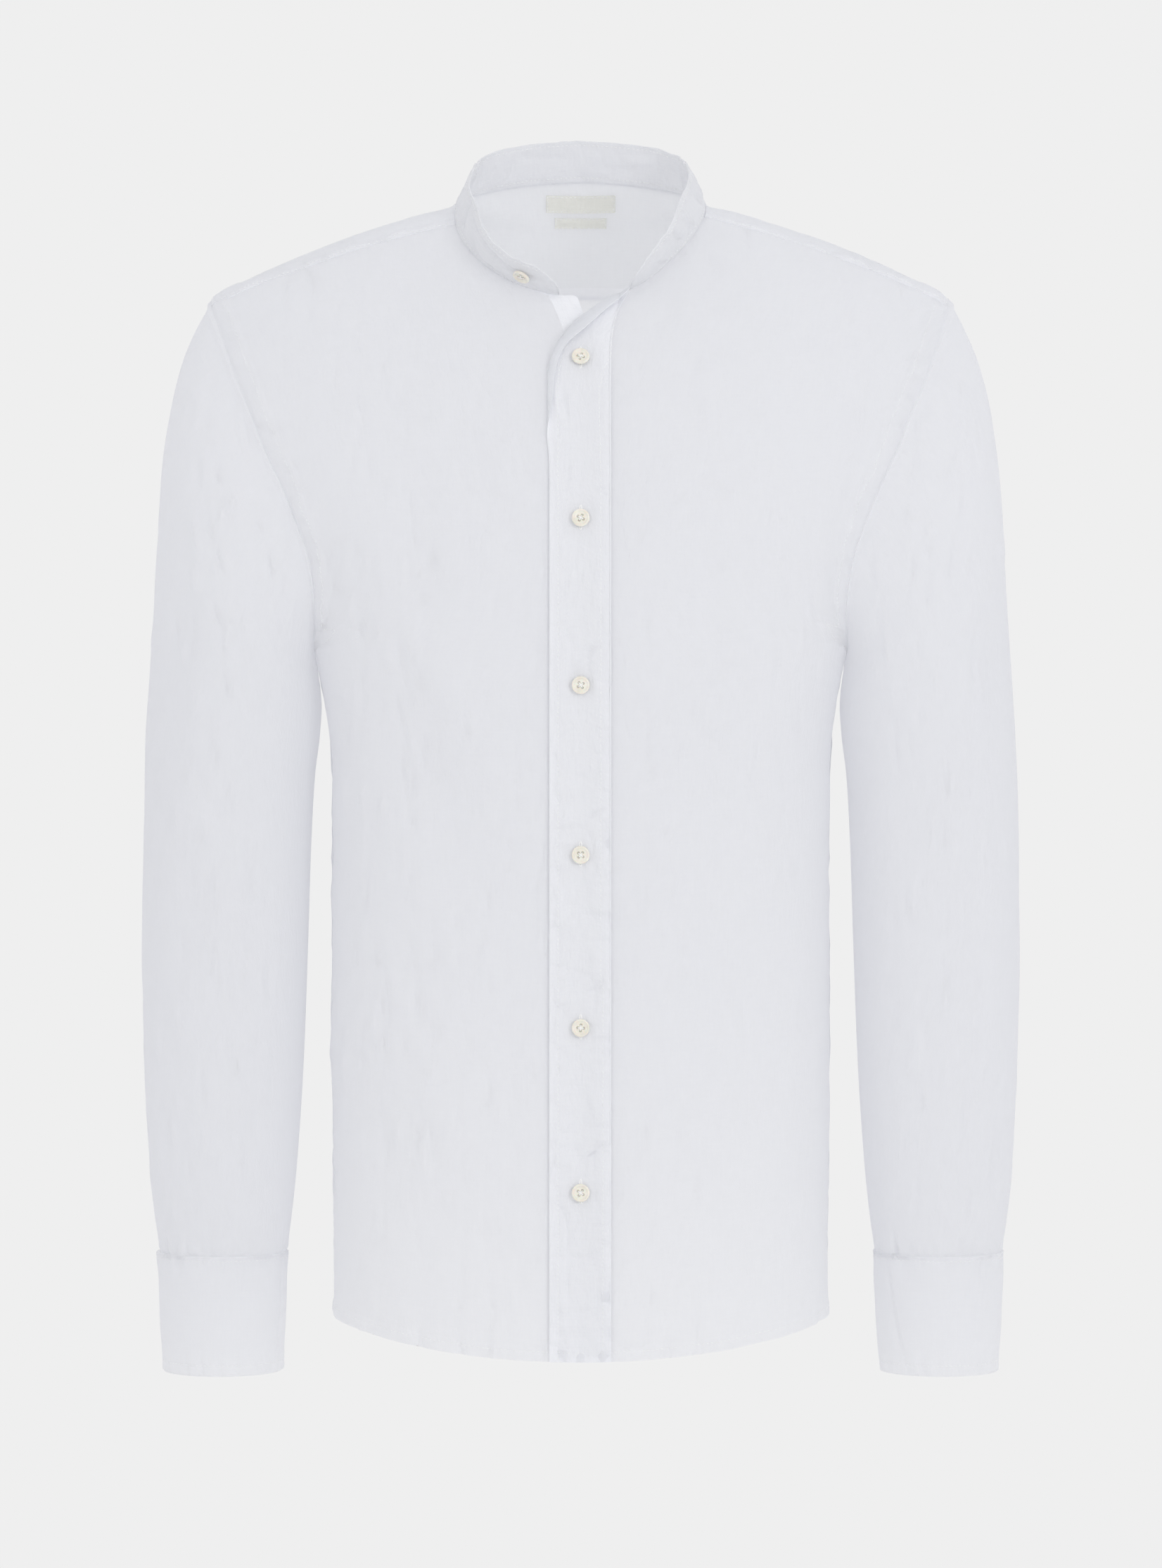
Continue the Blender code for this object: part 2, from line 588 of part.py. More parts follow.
def collar_frame(turn):
    """The band's foot, the way up its face and the way out of it, at angles from the centre back."""
    fine = np.radians(np.linspace(-175, 175, 701))
    line = neckline(fine)
    line = line - under_lap(line)[:, None] * body_normal(line)
    along = path_directions(line)
    out_of_cloth = unit(np.cross(along, body_normal(line)))
    level_out = unit(np.stack((-along[:, 1], along[:, 0], np.zeros(len(along))), axis=-1))
    lean = np.radians(smooth(COLLAR_LEAN["turn"], COLLAR_LEAN["lean"], np.degrees(np.abs(fine))))[:, None]
    up = np.cos(lean) * unit(np.cross(along, level_out)) + np.sin(lean) * level_out
    bend = np.linalg.norm(np.cross(out_of_cloth, up), axis=-1, keepdims=True)
    foot = line + out_of_cloth * (SEAM_GAP + DOUBLED / 2 * bend)
    columns = (foot, up, unit(np.cross(up, along)))
    return [np.stack([np.interp(turn, fine, part[:, axis]) for axis in range(3)], axis=-1) for part in columns]


def collar_height(turn):
    """The band's height, rounded off towards both ends."""
    foot = neckline(turn)
    run = np.concatenate(([0.0], np.cumsum(np.linalg.norm(np.diff(foot, axis=0), axis=1))))
    to_end = np.minimum(run, run[-1] - run)
    share = np.clip(1 - to_end / COLLAR_CORNER, 0, 1)
    return COLLAR_HEIGHT * (COLLAR_END_HEIGHT + (1 - COLLAR_END_HEIGHT) * np.sqrt(1 - share ** 2))


def make_collar():
    """The band: it stands round the back and sides, and its open ends fall forward over the chest."""
    points = np.concatenate((front_neck_turns(-1), yoke_neck_turns()[1:-1], front_neck_turns(1)[::-1]))
    clear = math.radians(2)
    within = (points > COLLAR_END[-1] + clear) & (points < COLLAR_END[1] - clear)
    turn = np.concatenate(([COLLAR_END[-1]], points[within], [COLLAR_END[1]]))
    foot, up, out = (part[:, None] for part in collar_frame(turn))
    rise = collar_height(turn)[:, None] * np.linspace(0, 1, COLLAR_STEPS_UP + 1)
    middle = foot + up * rise[..., None]
    cloth("collar", middle + out * DOUBLED / 2, middle - out * DOUBLED / 2, LINEN_DOUBLED)


def sleeve_start(turn, side):
    """The sleeve's first ring and the way its wall faces there.

    Above, it is butted to the body's edge. Under the arm it is folded back and lies outside the body.
    """
    fine = np.radians(np.arange(-180.0, 541.0))
    line = armhole(fine, side)
    normal = body_normal(line)
    off_edge = side * unit(np.cross(normal, path_directions(line)))
    butted, folded = FOLDED_BACK
    under = ease((np.degrees(np.arccos(np.cos(fine))) - butted) / (folded - butted))
    tilt = (under * math.pi / 2)[:, None]
    reach = SEAM_GAP / 2 + (CLOTH + SEAM_GAP / 2) * np.sin(tilt)
    ring = line + reach * (np.cos(tilt) * off_edge + np.sin(tilt) * normal)
    facing = np.cos(2 * tilt) * normal - np.sin(2 * tilt) * off_edge
    return [np.stack([np.interp(turn, fine, part[:, axis]) for axis in range(3)], axis=-1)
            for part in (ring, facing)]


def sleeve_ring(turn, down, side):
    """The sleeve's plain rings: ovals whose long axis runs from the outer line to the body side."""
    outer_x, outer_z, inner_x, inner_z, middle_y, half_depth, roundness = read(SLEEVE, down)
    long_way = power(np.cos(turn), 2 / roundness)
    x = (outer_x + inner_x) / 2 + (outer_x - inner_x) / 2 * long_way
    z = (outer_z + inner_z) / 2 + (outer_z - inner_z) / 2 * long_way
    y = middle_y - half_depth * power(np.sin(turn), 2 / roundness)
    return np.stack((side * x, y, z), axis=-1)


def make_sleeve(side):
    """A sleeve: a tube from the armhole to the cuff, folded back under the arm."""
    turn = joined(FRONT_TURNS, BACK_TURNS[::-1] + 2 * math.pi, TIP_TURNS[::-1] + 2 * math.pi)[:-1, None]
    down = np.linspace(0, 1, SLEEVE_STEPS_DOWN + 1)[None, :] ** SLEEVE_CROWDING
    ring, facing = sleeve_start(turn[:, 0], side)
    start = ring[:, None] - sleeve_ring(turn, 0 * down[:, :1], side)
    middle = sleeve_ring(turn, down, side)
    middle = middle + start * (np.clip(1 - down / SEAM_REACH, 0, 1) ** 2)[..., None]
    middle[:, -1] += SEAM_GAP / 2 * np.array((0, 0, 1))
    across = np.where(turn > math.pi, turn - 2 * math.pi, turn) * SLEEVE_FLAT
    rise = folds(SLEEVE_FOLDS[side], across, down * SLEEVE_LENGTH)
    no_folds, all_folds = BODY_SIDE
    rise = rise * ease((np.cos(turn) - no_folds) / (all_folds - no_folds))
    rise = rise * ease(down / FOLD_START) * ease((1 - down) / FOLD_END)
    around = np.roll(middle, -1, axis=0) - np.roll(middle, 1, axis=0)
    normal = side * unit(np.cross(around, np.gradient(middle, axis=1)))
    normal[:, 0] = facing
    outer = middle + normal * (rise + CLOTH / 2)[..., None]
    inner = middle + normal * (rise - CLOTH / 2)[..., None]
    cloth("sleeve_left" if side > 0 else "sleeve_right", outer, inner, LINEN, closed=True)


def cuff_layer(turn, down, side, lift):
    """The cuff's face at angles round the wrist, its lap wound half a layer out over its other end."""
    half_width, half_depth = read(CUFF, down)
    last = CUFF_LAP_TURN + CUFF_LAP + 2 * math.pi
    winding = (DOUBLED + SEAM_GAP) / 2
    over = ease((turn - last + CUFF_LAP + CUFF_RAMP) / CUFF_RAMP)
    under = ease((CUFF_LAP_TURN + CUFF_LAP + CUFF_RAMP - turn) / CUFF_RAMP)
    reach = winding * (over - under) + lift
    x = CUFF_MIDDLE[0] + (half_width + reach) * np.cos(turn)
    y = CUFF_MIDDLE[1] - (half_depth + reach) * np.sin(turn)
    z = CUFF_TOP_Z - CUFF_DEPTH * down
    return np.stack(np.broadcast_arrays(side * x, y, z), axis=-1)


def make_cuff(side):
    """A barrel cuff with its button: one strip wound once round the wrist, its ends lapped."""
    label = "left" if side > 0 else "right"
    last = CUFF_LAP_TURN + CUFF_LAP + 2 * math.pi
    turn = np.linspace(CUFF_LAP_TURN, last, CUFF_STEPS_ROUND + 1)[:, None]
    down = np.linspace(0, 1, CUFF_STEPS_DOWN + 1)[None, :]
    outer, inner = (cuff_layer(turn, down, side, lift) for lift in (DOUBLED / 2, -DOUBLED / 2))
    cloth(f"cuff_{label}", outer, inner, LINEN_DOUBLED)
    seat = DOUBLED / 2 + BUTTON_SHANK
    place, beyond = (Vector(cuff_layer(last - CUFF_LAP / 2, 0.5, side, lift)) for lift in (seat, 2 * seat))
    make_button(f"cuff_button_{label}", place, beyond - place)


def make_button(name, place, way):
    """A flat shirt button turned round its axis: a raised rim round a dished middle."""
    profile = ((0.0, 0.0), (0.80, 0.0), (1.0, 0.12), (1.0, 0.30), (0.90, 0.40), (0.72, 0.30), (0.0, 0.24))
    shape = bmesh.new()
    line = [shape.verts.new((r * BUTTON_RADIUS, 0.0, h * BUTTON_RADIUS)) for r, h in profile]
    edges = [shape.edges.new(pair) for pair in zip(line, line[1:])]
    bmesh.ops.spin(shape, geom=line + edges, cent=(0, 0, 0), axis=(0, 0, 1), angle=2 * math.pi,
                   steps=BUTTON_STEPS, use_duplicate=False)
    bmesh.ops.remove_doubles(shape, verts=shape.verts, dist=0.00001)
    bmesh.ops.recalc_face_normals(shape, faces=shape.faces)
    mesh = bpy.data.meshes.new(name)
    shape.to_mesh(mesh)
    shape.free()
    mesh.shade_smooth()
    mesh.set_sharp_from_angle(angle=math.radians(35))
    button = add_object(name, mesh, BUTTON_RESIN)
    button.matrix_world = Matrix.Translation(place) @ way.to_track_quat("Z", "Y").to_matrix().to_4x4()


def make_placket_buttons():
    """Six buttons down the middle of the placket."""
    lift = CLOTH / 2 + SEAM_GAP + DOUBLED + BUTTON_SHANK
    for number, z in enumerate(BUTTON_Z, start=1):
        seat = body_seen(np.array(0.0), np.array(z), -1)
        make_button(f"button_{number}", Vector(body_layer(seat, lift)), Vector(body_normal(seat)))


def make_collar_button():
    """The button near the right end of the band, on its outer face."""
    foot, up, out = (Vector(part[0]) for part in collar_frame(np.array([COLLAR_BUTTON_TURN])))
    make_button("collar_button", foot + up * COLLAR_HEIGHT / 2 + out * (DOUBLED / 2 + BUTTON_SHANK), out)


def make_labels(grid):
    """Two bare woven labels on the inside of the yoke, below the band, made from the yoke's points."""
    centre = grid[len(grid) // 2, :, 2]
    for name, (half_length, top, bottom) in LABELS.items():
        columns = []
        for z in np.linspace(top, bottom, LABEL_STEPS[1] + 1):
            down = np.interp(-z, -centre, np.arange(len(centre)))
            row = min(int(down), len(centre) - 2)
            line = grid[:, row] + (down - row) * (grid[:, row + 1] - grid[:, row])
            x = np.linspace(-half_length, half_length, LABEL_STEPS[0] + 1)
            columns.append(np.stack([np.interp(x, line[:, 0], line[:, axis]) for axis in range(3)], axis=-1))
        lift = -(CLOTH / 2 + SEAM_GAP + LABEL_WALL / 2)
        body_cloth(name, np.stack(columns, axis=1), LABEL_WEAVE, lift=lift, wall=LABEL_WALL)


def main():
    for leftover in list(bpy.data.objects):
        bpy.data.objects.remove(leftover, do_unlink=True)
    make_back()
    yoke = yoke_grid()
    body_cloth("yoke", drawn_in(yoke))
    make_labels(yoke)
    for side in (-1, 1):
        make_front(side)
        make_sleeve(side)
        make_cuff(side)
    make_placket()
    make_collar()
    make_placket_buttons()
    make_collar_button()


main()
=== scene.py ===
"""A man's white linen shirt with a band collar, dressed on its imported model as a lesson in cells."""
# %% [markdown]
# # A linen shirt with a band collar
#
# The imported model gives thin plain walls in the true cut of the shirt. This lesson dresses it: each cut piece
# becomes a finer sheet of linen on the same form, with its creases, welts, puckers and rows of stitching, and
# buttons, threads, buttonholes and labels are added. Everything is in metres, with +Z up, +X to the wearer's
# left and the front towards -Y. The origin is the middle of the neck.

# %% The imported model
import math

import bmesh
import bpy
import numpy as np
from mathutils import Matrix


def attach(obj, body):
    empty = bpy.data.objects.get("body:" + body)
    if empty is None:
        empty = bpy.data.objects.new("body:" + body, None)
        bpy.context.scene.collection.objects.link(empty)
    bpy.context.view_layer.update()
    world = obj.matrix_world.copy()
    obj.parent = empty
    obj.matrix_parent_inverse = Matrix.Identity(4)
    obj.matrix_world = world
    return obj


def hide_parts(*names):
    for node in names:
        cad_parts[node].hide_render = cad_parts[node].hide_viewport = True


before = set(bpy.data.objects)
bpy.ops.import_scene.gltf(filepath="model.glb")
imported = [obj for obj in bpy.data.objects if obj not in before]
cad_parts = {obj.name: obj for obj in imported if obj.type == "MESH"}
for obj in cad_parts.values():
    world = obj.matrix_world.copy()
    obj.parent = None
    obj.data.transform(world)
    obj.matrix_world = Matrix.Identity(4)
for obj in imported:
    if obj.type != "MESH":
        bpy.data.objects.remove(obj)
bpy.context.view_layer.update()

# %% [markdown]
# ## Camera, floor and light
#
# White cloth shows its form only in very soft light, so the surroundings are one even pale tone, like a light
# tent. One large lamp from the upper right gives the soft direction, and a weaker one from the left fills in.
# The camera looks level at the middle of the shirt from 2.8 m. Its long lens keeps the sides straight.

# %% Colours
def linear(hex_colour):
    """An sRGB hex colour as linear red, green, blue and alpha: the sRGB curve undone on each channel."""
    srgb = np.array([int(hex_colour[i:i + 2], 16) for i in (1, 3, 5)]) / 255
    channels = np.where(srgb <= 0.04045, srgb / 12.92, ((srgb + 0.055) / 1.055) ** 2.4)
    return (*channels.tolist(), 1.0)


# %% Camera and stage
CAMERA_DISTANCE = 2.8
CAMERA_HEIGHT = -0.367
LENS = 101.57            # mm, on the 36 mm side of the film
STAGE_TONE = "#EFEFEF"

scene = bpy.context.scene
scene.view_settings.view_transform = "Standard"
camera = bpy.data.objects.new("camera", bpy.data.cameras.new("camera"))
camera.data.lens = LENS
camera.location = (0.0002, -CAMERA_DISTANCE, CAMERA_HEIGHT)
camera.rotation_euler = (math.pi / 2, 0, 0)
scene.collection.objects.link(camera)
scene.camera = camera

world = bpy.data.worlds.new("light_tent")
world.use_nodes = True
tent = world.node_tree.nodes["Background"]
tent.inputs["Color"].default_value = linear(STAGE_TONE)
tent.inputs["Strength"].default_value = 1.0
scene.world = world

# name: place, size, power in watts
LAMPS = {
    "key_lamp": ((1.6, -2.7, 0.3), 0.9, 14.0),
    "fill_lamp": ((-1.5, -2.8, -0.2), 1.6, 3.0),
}
for name, (place, size, watts) in LAMPS.items():
    lamp = bpy.data.lights.new(name, "AREA")
    lamp.shape, lamp.size, lamp.energy = "DISK", size, watts
    stand = bpy.data.objects.new(name, lamp)
    stand.location = place
    aim = np.array((0, 0, CAMERA_HEIGHT)) - place
    stand.rotation_euler = (math.acos(-aim[2] / np.linalg.norm(aim)), 0, math.atan2(-aim[0], aim[1]))
    stand.visible_camera = False
    scene.collection.objects.link(stand)
print("camera at", tuple(camera.location), "lens", LENS, "mm")

# %% [markdown]
# ## Reading sizes, and working on grids
#
# A garment's form is known at a few levels only. A curve through them that never swings past its points
# gives every level between. The cloth itself is a grid of points with two ways: across and down.

# %% Tables and curves
def table(names, *rows):
    """A table with named columns, as one array per column."""
    return dict(zip(names.split(), np.array(rows, float).T))


def smooth(xs, ys, at):
    """A cubic curve through the points (xs, ys), its slopes kept low enough never to swing past them."""
    step = np.diff(xs)
    slope = np.diff(ys) / step
    before, after = slope[:-1], slope[1:]
    same_way = before * after > 0
    total = np.where(same_way, before + after, 1.0)
    tangent = np.concatenate((slope[:1], np.where(same_way, 2 * before * after / total, 0.0), slope[-1:]))
    at = np.clip(at, xs[0], xs[-1])
    i = np.clip(np.searchsorted(xs, at) - 1, 0, len(step) - 1)
    t = (at - xs[i]) / step[i]
    rise = 3 * t ** 2 - 2 * t ** 3
    return (ys[i] * (1 - rise) + ys[i + 1] * rise
            + step[i] * (tangent[i] * t * (1 - t) ** 2 - tangent[i + 1] * t ** 2 * (1 - t)))


def read(sheet, at):
    """Every column of a table after the first, read smoothly at values of the first."""
    first, *others = sheet.values()
    return [smooth(first, column, at) for column in others]


def ease(value):
    """0 up to 0, 1 from 1 on, and a soft S between: 3 t^2 - 2 t^3."""
    value = np.clip(value, 0.0, 1.0)
    return value * value * (3 - 2 * value)


def unit(vectors):
    return vectors / np.linalg.norm(vectors, axis=-1, keepdims=True)


def power(value, exponent):
    """A power that keeps the sign of its base."""
    return np.sign(value) * np.abs(value) ** exponent


# %% Lines and points
def joined(first, *others):
    """Lines that follow each other, as one: each next one starts where the last ends."""
    return np.concatenate([first] + [line[1:] for line in others])


def run_along(line):
    """How far along a line each of its points is, or each point of a grid from its first row."""
    steps = np.linalg.norm(np.diff(line, axis=0), axis=-1)
    return np.concatenate((0 * steps[:1], np.cumsum(steps, axis=0)))


def straight(at, known, line):
    """Points read straight between those of a line, where each of its points has a known value."""
    return np.stack([np.interp(at, known, part) for part in line.T], axis=-1)


def at_shares(line, shares):
    """Points of a line at shares of its length."""
    run = run_along(line)
    return straight(shares * run[-1], run, line)


def as_points(x, y, z):
    """Points from their coordinates, each spread out to the shape of the others."""
    return np.stack(np.broadcast_arrays(x, y, z), axis=-1)


def spaced(length, step, dense=0.012, dense_step=0.0012):
    """Shares of a length for a grid's lines: a step apart, closer near both ends, closest at the edge."""
    edge = np.concatenate(([0.0, 0.0004, 0.0009], np.arange(0.0018, dense, dense_step)))
    middle = np.linspace(dense, length - dense, max(2, int((length - 2 * dense) / step) + 1))
    return np.concatenate((edge, middle, length - edge[::-1])) / length


# %% [markdown]
# ## The form of the body
#
# A shirt that is filled out as it is worn is close to a stack of rounded ovals. Each level has a half width,
# a depth to the front and one to the back, and a roundness that squares it up a little. The same table gives
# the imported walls, so a finer sheet worked out from it lies exactly on them.

# %% Level sections
BODY = table(
    "z half_width front back roundness",
    (-0.730, 0.1546, 0.1150, 0.1060, 2.40),
    (-0.640, 0.1554, 0.1138, 0.1030, 2.40),
    (-0.500, 0.1563, 0.1120, 0.0990, 2.40),
    (-0.360, 0.1563, 0.1130, 0.0970, 2.40),
    (-0.320, 0.1600, 0.1145, 0.0990, 2.40),
    (-0.285, 0.1672, 0.1150, 0.1020, 2.40),
    (-0.258, 0.1760, 0.1142, 0.1042, 2.35),
    (-0.225, 0.1920, 0.1130, 0.1062, 2.30),
    (-0.196, 0.2120, 0.1100, 0.1075, 2.20),
    (-0.149, 0.2380, 0.1010, 0.1080, 2.12),
    (-0.111, 0.2450, 0.0880, 0.1050, 2.05),
    (-0.075, 0.2390, 0.0690, 0.0990, 2.00),
    (-0.061, 0.2315, 0.0605, 0.0960, 2.00),
    (-0.045, 0.2030, 0.0520, 0.0920, 2.00),
    (-0.027, 0.1603, 0.0430, 0.0860, 2.00),
    (-0.009, 0.1070, 0.0345, 0.0785, 2.00),
    (0.000, 0.0785, 0.0300, 0.0740, 2.00),
    (0.022, 0.0785, 0.0200, 0.0580, 2.00),
)


def body_fill(points):
    """How full the form is: |x / width| ^ roundness + |y / depth| ^ roundness, 1 on the form itself."""
    x, y, z = np.moveaxis(points, -1, 0)
    half_width, front, back, roundness = read(BODY, z)
    depth = np.where(y < 0, front, back)
    return np.abs(x / half_width) ** roundness + np.abs(y / depth) ** roundness


def body_normal(points):
    """The unit direction straight out of the form: the slope of its fill along x, y and z."""
    reach = 0.0006
    slope = [body_fill(points + reach * axis) - body_fill(points - reach * axis) for axis in np.eye(3)]
    return unit(np.stack(slope, axis=-1))


# %% Places on the form
def body_point(turn, z, side=1):
    """The form at a height and an angle: 0 the centre front, pi/2 the side, pi the centre back."""
    half_width, front, back, roundness = read(BODY, z)
    depth = np.where(np.cos(turn) > 0, front, back)
    x = side * half_width * power(np.sin(turn), 2 / roundness)
    y = -depth * power(np.cos(turn), 2 / roundness)
    return as_points(x, y, z)


def body_seen(x, z, face):
    """The form where x and z are known, on its front (face -1) or its back (face 1)."""
    half_width, front, back, roundness = read(BODY, z)
    depth = np.where(face < 0, front, back)
    rest = np.clip(1 - np.abs(x / half_width) ** roundness, 0.0, 1.0)
    return as_points(x, face * depth * rest ** (1 / roundness), z)


def body_place(points, side=1):
    """Where points of the form lie: their angle, from just before 0 to nearly 2 pi, and their height."""
    x, y, z = np.moveaxis(points, -1, 0)
    half_width, front, back, roundness = read(BODY, z)
    depth = np.where(y < 0, front, back)
    turn = np.arctan2(power(side * x / half_width, roundness / 2), -power(y / depth, roundness / 2))
    return np.stack((np.where(turn < -0.3, turn + 2 * math.pi, turn), z), axis=-1)


# %% A panel between four edges
def between_edges(bottom, top, left, right, u, v, fade=1):
    """A grid between four edges: ruled from bottom to top, plus the side edges' bends, dying away."""
    u, v = u[:, None, None], v[None, :, None]
    ruled = (1 - v) * bottom[:, None] + v * top[:, None]
    return ruled + (1 - u) ** fade * (left - ruled[0]) + u ** fade * (right - ruled[-1])


def body_panel(bottom, top, left, right, u, v, side=1):
    """A grid of the form's points between four edges that lie on it, at shares u across and v up."""
    edges = [at_shares(edge, shares) for edge, shares in ((bottom, u), (top, u), (left, v), (right, v))]
    flat = between_edges(*[body_place(edge, side) for edge in edges], u, v)
    return body_point(flat[..., 0], flat[..., 1], side)


# %% [markdown]
# ## The cut
#
# The seam lines lie on the form: neckline, armholes, yoke seams, the opening and the hem. A real shirt is cut
# flat, and these are where its edges come to lie once it is sewn and worn.

# %% Sizes of the cut
SHOULDER_TIP_Z, UNDERARM_Z = -0.061, -0.285
HEM_Z, HEM_RISE = -0.718, 0.018
ARMHOLE_FRONT_CUT, ARMHOLE_BACK_CUT = math.radians(35.0), math.radians(28.0)
YOKE_FRONT_TURN, YOKE_BACK_TURN, YOKE_NECK_TURN = math.radians(18.0), math.radians(-40.0), math.radians(105.0)
YOKE_FRONT_BOW, YOKE_BACK_Z, YOKE_FADE = 0.004, -0.050, 6
NECK_HALF, NECK_BACK_Z, NECK_BACK_ROUND, NECK_TUCK = 0.082, 0.022, 1.15, 0.045
NECK_TUCK_TURNS = (math.radians(87.0), math.radians(112.0))
NECK_DEPTH, NECK_ROUND = {-1: 0.066, 1: 0.074}, {-1: 2.0, 1: 1.5}
OPENING_Z, FRONT_LAP = -0.124, 0.0175
FRONT_TOP_X, FRONT_TOP_ROUND = {-1: 0.003, 1: 0.027}, {-1: 1.3, 1: 2.4}
PLACKET_HALF, PLACKET_LIP = 0.019, 0.0015
STRIP_TOP_X, STRIP_TOP_ROUND = 0.0300, 4.0
UNDER_LAP_DEPTH, UNDER_LAP_X, UNDER_LAP_Z = 0.0030, (-0.042, -0.020), (-0.066, -0.077)
LINE_POINTS = 400        # points on each seam line before it is shared out to a grid


# %% Armholes and neckline
def armhole(turn, side):
    """The armhole: 0 at the shoulder tip, pi/2 at the front, pi under the arm, 3 pi/2 at the back."""
    z = UNDERARM_Z + (SHOULDER_TIP_Z - UNDERARM_Z) * (1 + np.cos(turn)) / 2
    cut = np.where(np.sin(turn) > 0, ARMHOLE_FRONT_CUT, ARMHOLE_BACK_CUT) * np.sin(turn)
    return body_point(math.pi / 2 - cut, z, side)


def neckline(turn):
    """The neckline by angle from the centre back: a rounded oval seen from the front, laid on the form."""
    side = np.where(turn < 0, -1, 1)
    depth = np.where(turn < 0, NECK_DEPTH[-1], NECK_DEPTH[1])
    round_off = np.where(turn < 0, NECK_ROUND[-1], NECK_ROUND[1])
    front = np.cos(turn) < 0
    x = side * NECK_HALF * np.abs(np.sin(turn)) ** np.where(front, 2 / round_off, 1.0)
    behind, before = NECK_TUCK_TURNS
    x = x * (1 - NECK_TUCK * ease((before - np.abs(turn)) / (before - behind)))
    z_front = -depth * np.abs(np.cos(turn)) ** (2 / round_off)
    z_back = NECK_BACK_Z * np.abs(np.cos(turn)) ** NECK_BACK_ROUND
    return body_seen(x, np.where(front, z_front, z_back), np.where(front, -1, 1))


def neck_turn(x, side):
    """The neckline's angle where it passes x in front, towards its own side."""
    return side * (math.pi - math.asin((x / NECK_HALF) ** (NECK_ROUND[side] / 2)))


# %% Yoke seams, hem and side seams
def front_yoke_seam(side):
    """The yoke's front seam, from the neck to the armhole: straight with a slight upward bow."""
    start = neckline(np.array(side * YOKE_NECK_TURN))
    end = armhole(np.array(YOKE_FRONT_TURN), side)
    share = np.linspace(0, 1, LINE_POINTS)
    x = start[0] + (end[0] - start[0]) * share
    z = start[2] + (end[2] - start[2]) * share + 4 * YOKE_FRONT_BOW * share * (1 - share)
    return body_seen(x, z, -1)


def back_yoke_seam():
    """The yoke's back seam, from the right armhole to the left, sagging towards the armholes."""
    end = armhole(np.array(YOKE_BACK_TURN), 1)
    x = np.linspace(-end[0], end[0], LINE_POINTS)
    return body_seen(x, YOKE_BACK_Z + (end[2] - YOKE_BACK_Z) * (x / end[0]) ** 2, 1)


def hem_height(turn):
    """The hem is lowest at the centres and rises in a soft arc to the side seams."""
    return HEM_Z + HEM_RISE * np.abs(np.sin(turn)) ** (4 / BODY["roundness"][0])


def side_seam(side):
    """The side seam, from the hem to under the arm."""
    z = np.linspace(hem_height(math.pi / 2), UNDERARM_Z, LINE_POINTS)
    return body_point(np.full_like(z, math.pi / 2), z, side)


# %% The opening
def opening_share(z):
    """How far up the open part of the front each height is: 0 where it starts, 1 at the neck."""
    top = neckline(np.array(neck_turn(FRONT_TOP_X[1], 1)))[2]
    return np.clip((z - OPENING_Z) / (top - OPENING_Z), 0, 1)


def front_edge(side, z):
    """Where a front's edge is at each height: past the centre below, drawn to its own side above."""
    share = opening_share(z) ** FRONT_TOP_ROUND[side]
    return side * (-FRONT_LAP + (FRONT_TOP_X[side] + FRONT_LAP) * share)


def strip_edge(side, z):
    """The inner edge of the buttoned strip: straight below, swept up to the band's end."""
    share = opening_share(z)
    return side * (PLACKET_HALF + (STRIP_TOP_X - PLACKET_HALF) * share ** STRIP_TOP_ROUND)


def under_lap(points):
    """How deep the right front lies under the left one, along the closed part of the opening."""
    x, z = points[..., 0], points[..., 2]
    (x_start, x_deep), (z_start, z_deep) = UNDER_LAP_X, UNDER_LAP_Z
    across = ease((x - x_start) / (x_deep - x_start))
    return UNDER_LAP_DEPTH * across * ease((z - z_start) / (z_deep - z_start))


# %% [markdown]
# ## Creases
#
# Linen keeps every fold it is given. Its creases are drawn in real sizes, each one a line with a
# height, a half-width and a sideways bow, on the front and the back as they are seen and on a sleeve's flat
# cut. A net of eased random heights adds the small unevenness of washed linen between them.

# %% Creases and crumple
CREASE = "across1 down1 across2 down2 bow spread height"
NET_KNOTS = 97           # a net of random heights repeats itself only after so many knots
CREASE_LENGTHS, CREASE_SPREADS, CREASE_BOW = (0.012, 0.045), (0.0014, 0.0030), 0.06


def drawn(*rows):
    """A table of creases drawn in millimetres: their two ends, then bow, half-width and height."""
    return {name: column / 1000 for name, column in table(CREASE, *rows).items()}


def creases(sheet, across, down):
    """Height of drawn creases: a bell across each bowed line, swelling and fading from end to end."""
    height = np.zeros(np.broadcast(across, down).shape)
    for a1, d1, a2, d2, bow, spread, rise in zip(*sheet.values()):
        length = math.hypot(a2 - a1, d2 - d1)
        way = ((a2 - a1) / length, (d2 - d1) / length)
        along = ((across - a1) * way[0] + (down - d1) * way[1]) / length
        beside = (across - a1) * way[1] - (down - d1) * way[0] - 4 * bow * along * (1 - along)
        height += rise * np.exp(-(beside / spread) ** 2) * ease(2 * along) * ease(2 - 2 * along)
    return height


def hills(across, down, seed, knots=NET_KNOTS):
    """Smooth random hills from -1 to 1: a random height at each knot of a net, eased between the knots."""
    net = np.random.default_rng(seed).uniform(-1, 1, (knots, NET_KNOTS))
    i, j = np.floor(across).astype(int), np.floor(down).astype(int)
    a, d = ease(across - i), ease(down - j)
    at = [[net[(i + p) % knots, (j + q) % NET_KNOTS] for q in (0, 1)] for p in (0, 1)]
    return (at[0][0] * (1 - a) + at[1][0] * a) * (1 - d) + (at[0][1] * (1 - a) + at[1][1] * a) * d


def crumple(across, down, size, seed):
    """Random hills with a knot at each size of the cloth."""
    return hills(across / size, down / size, seed)


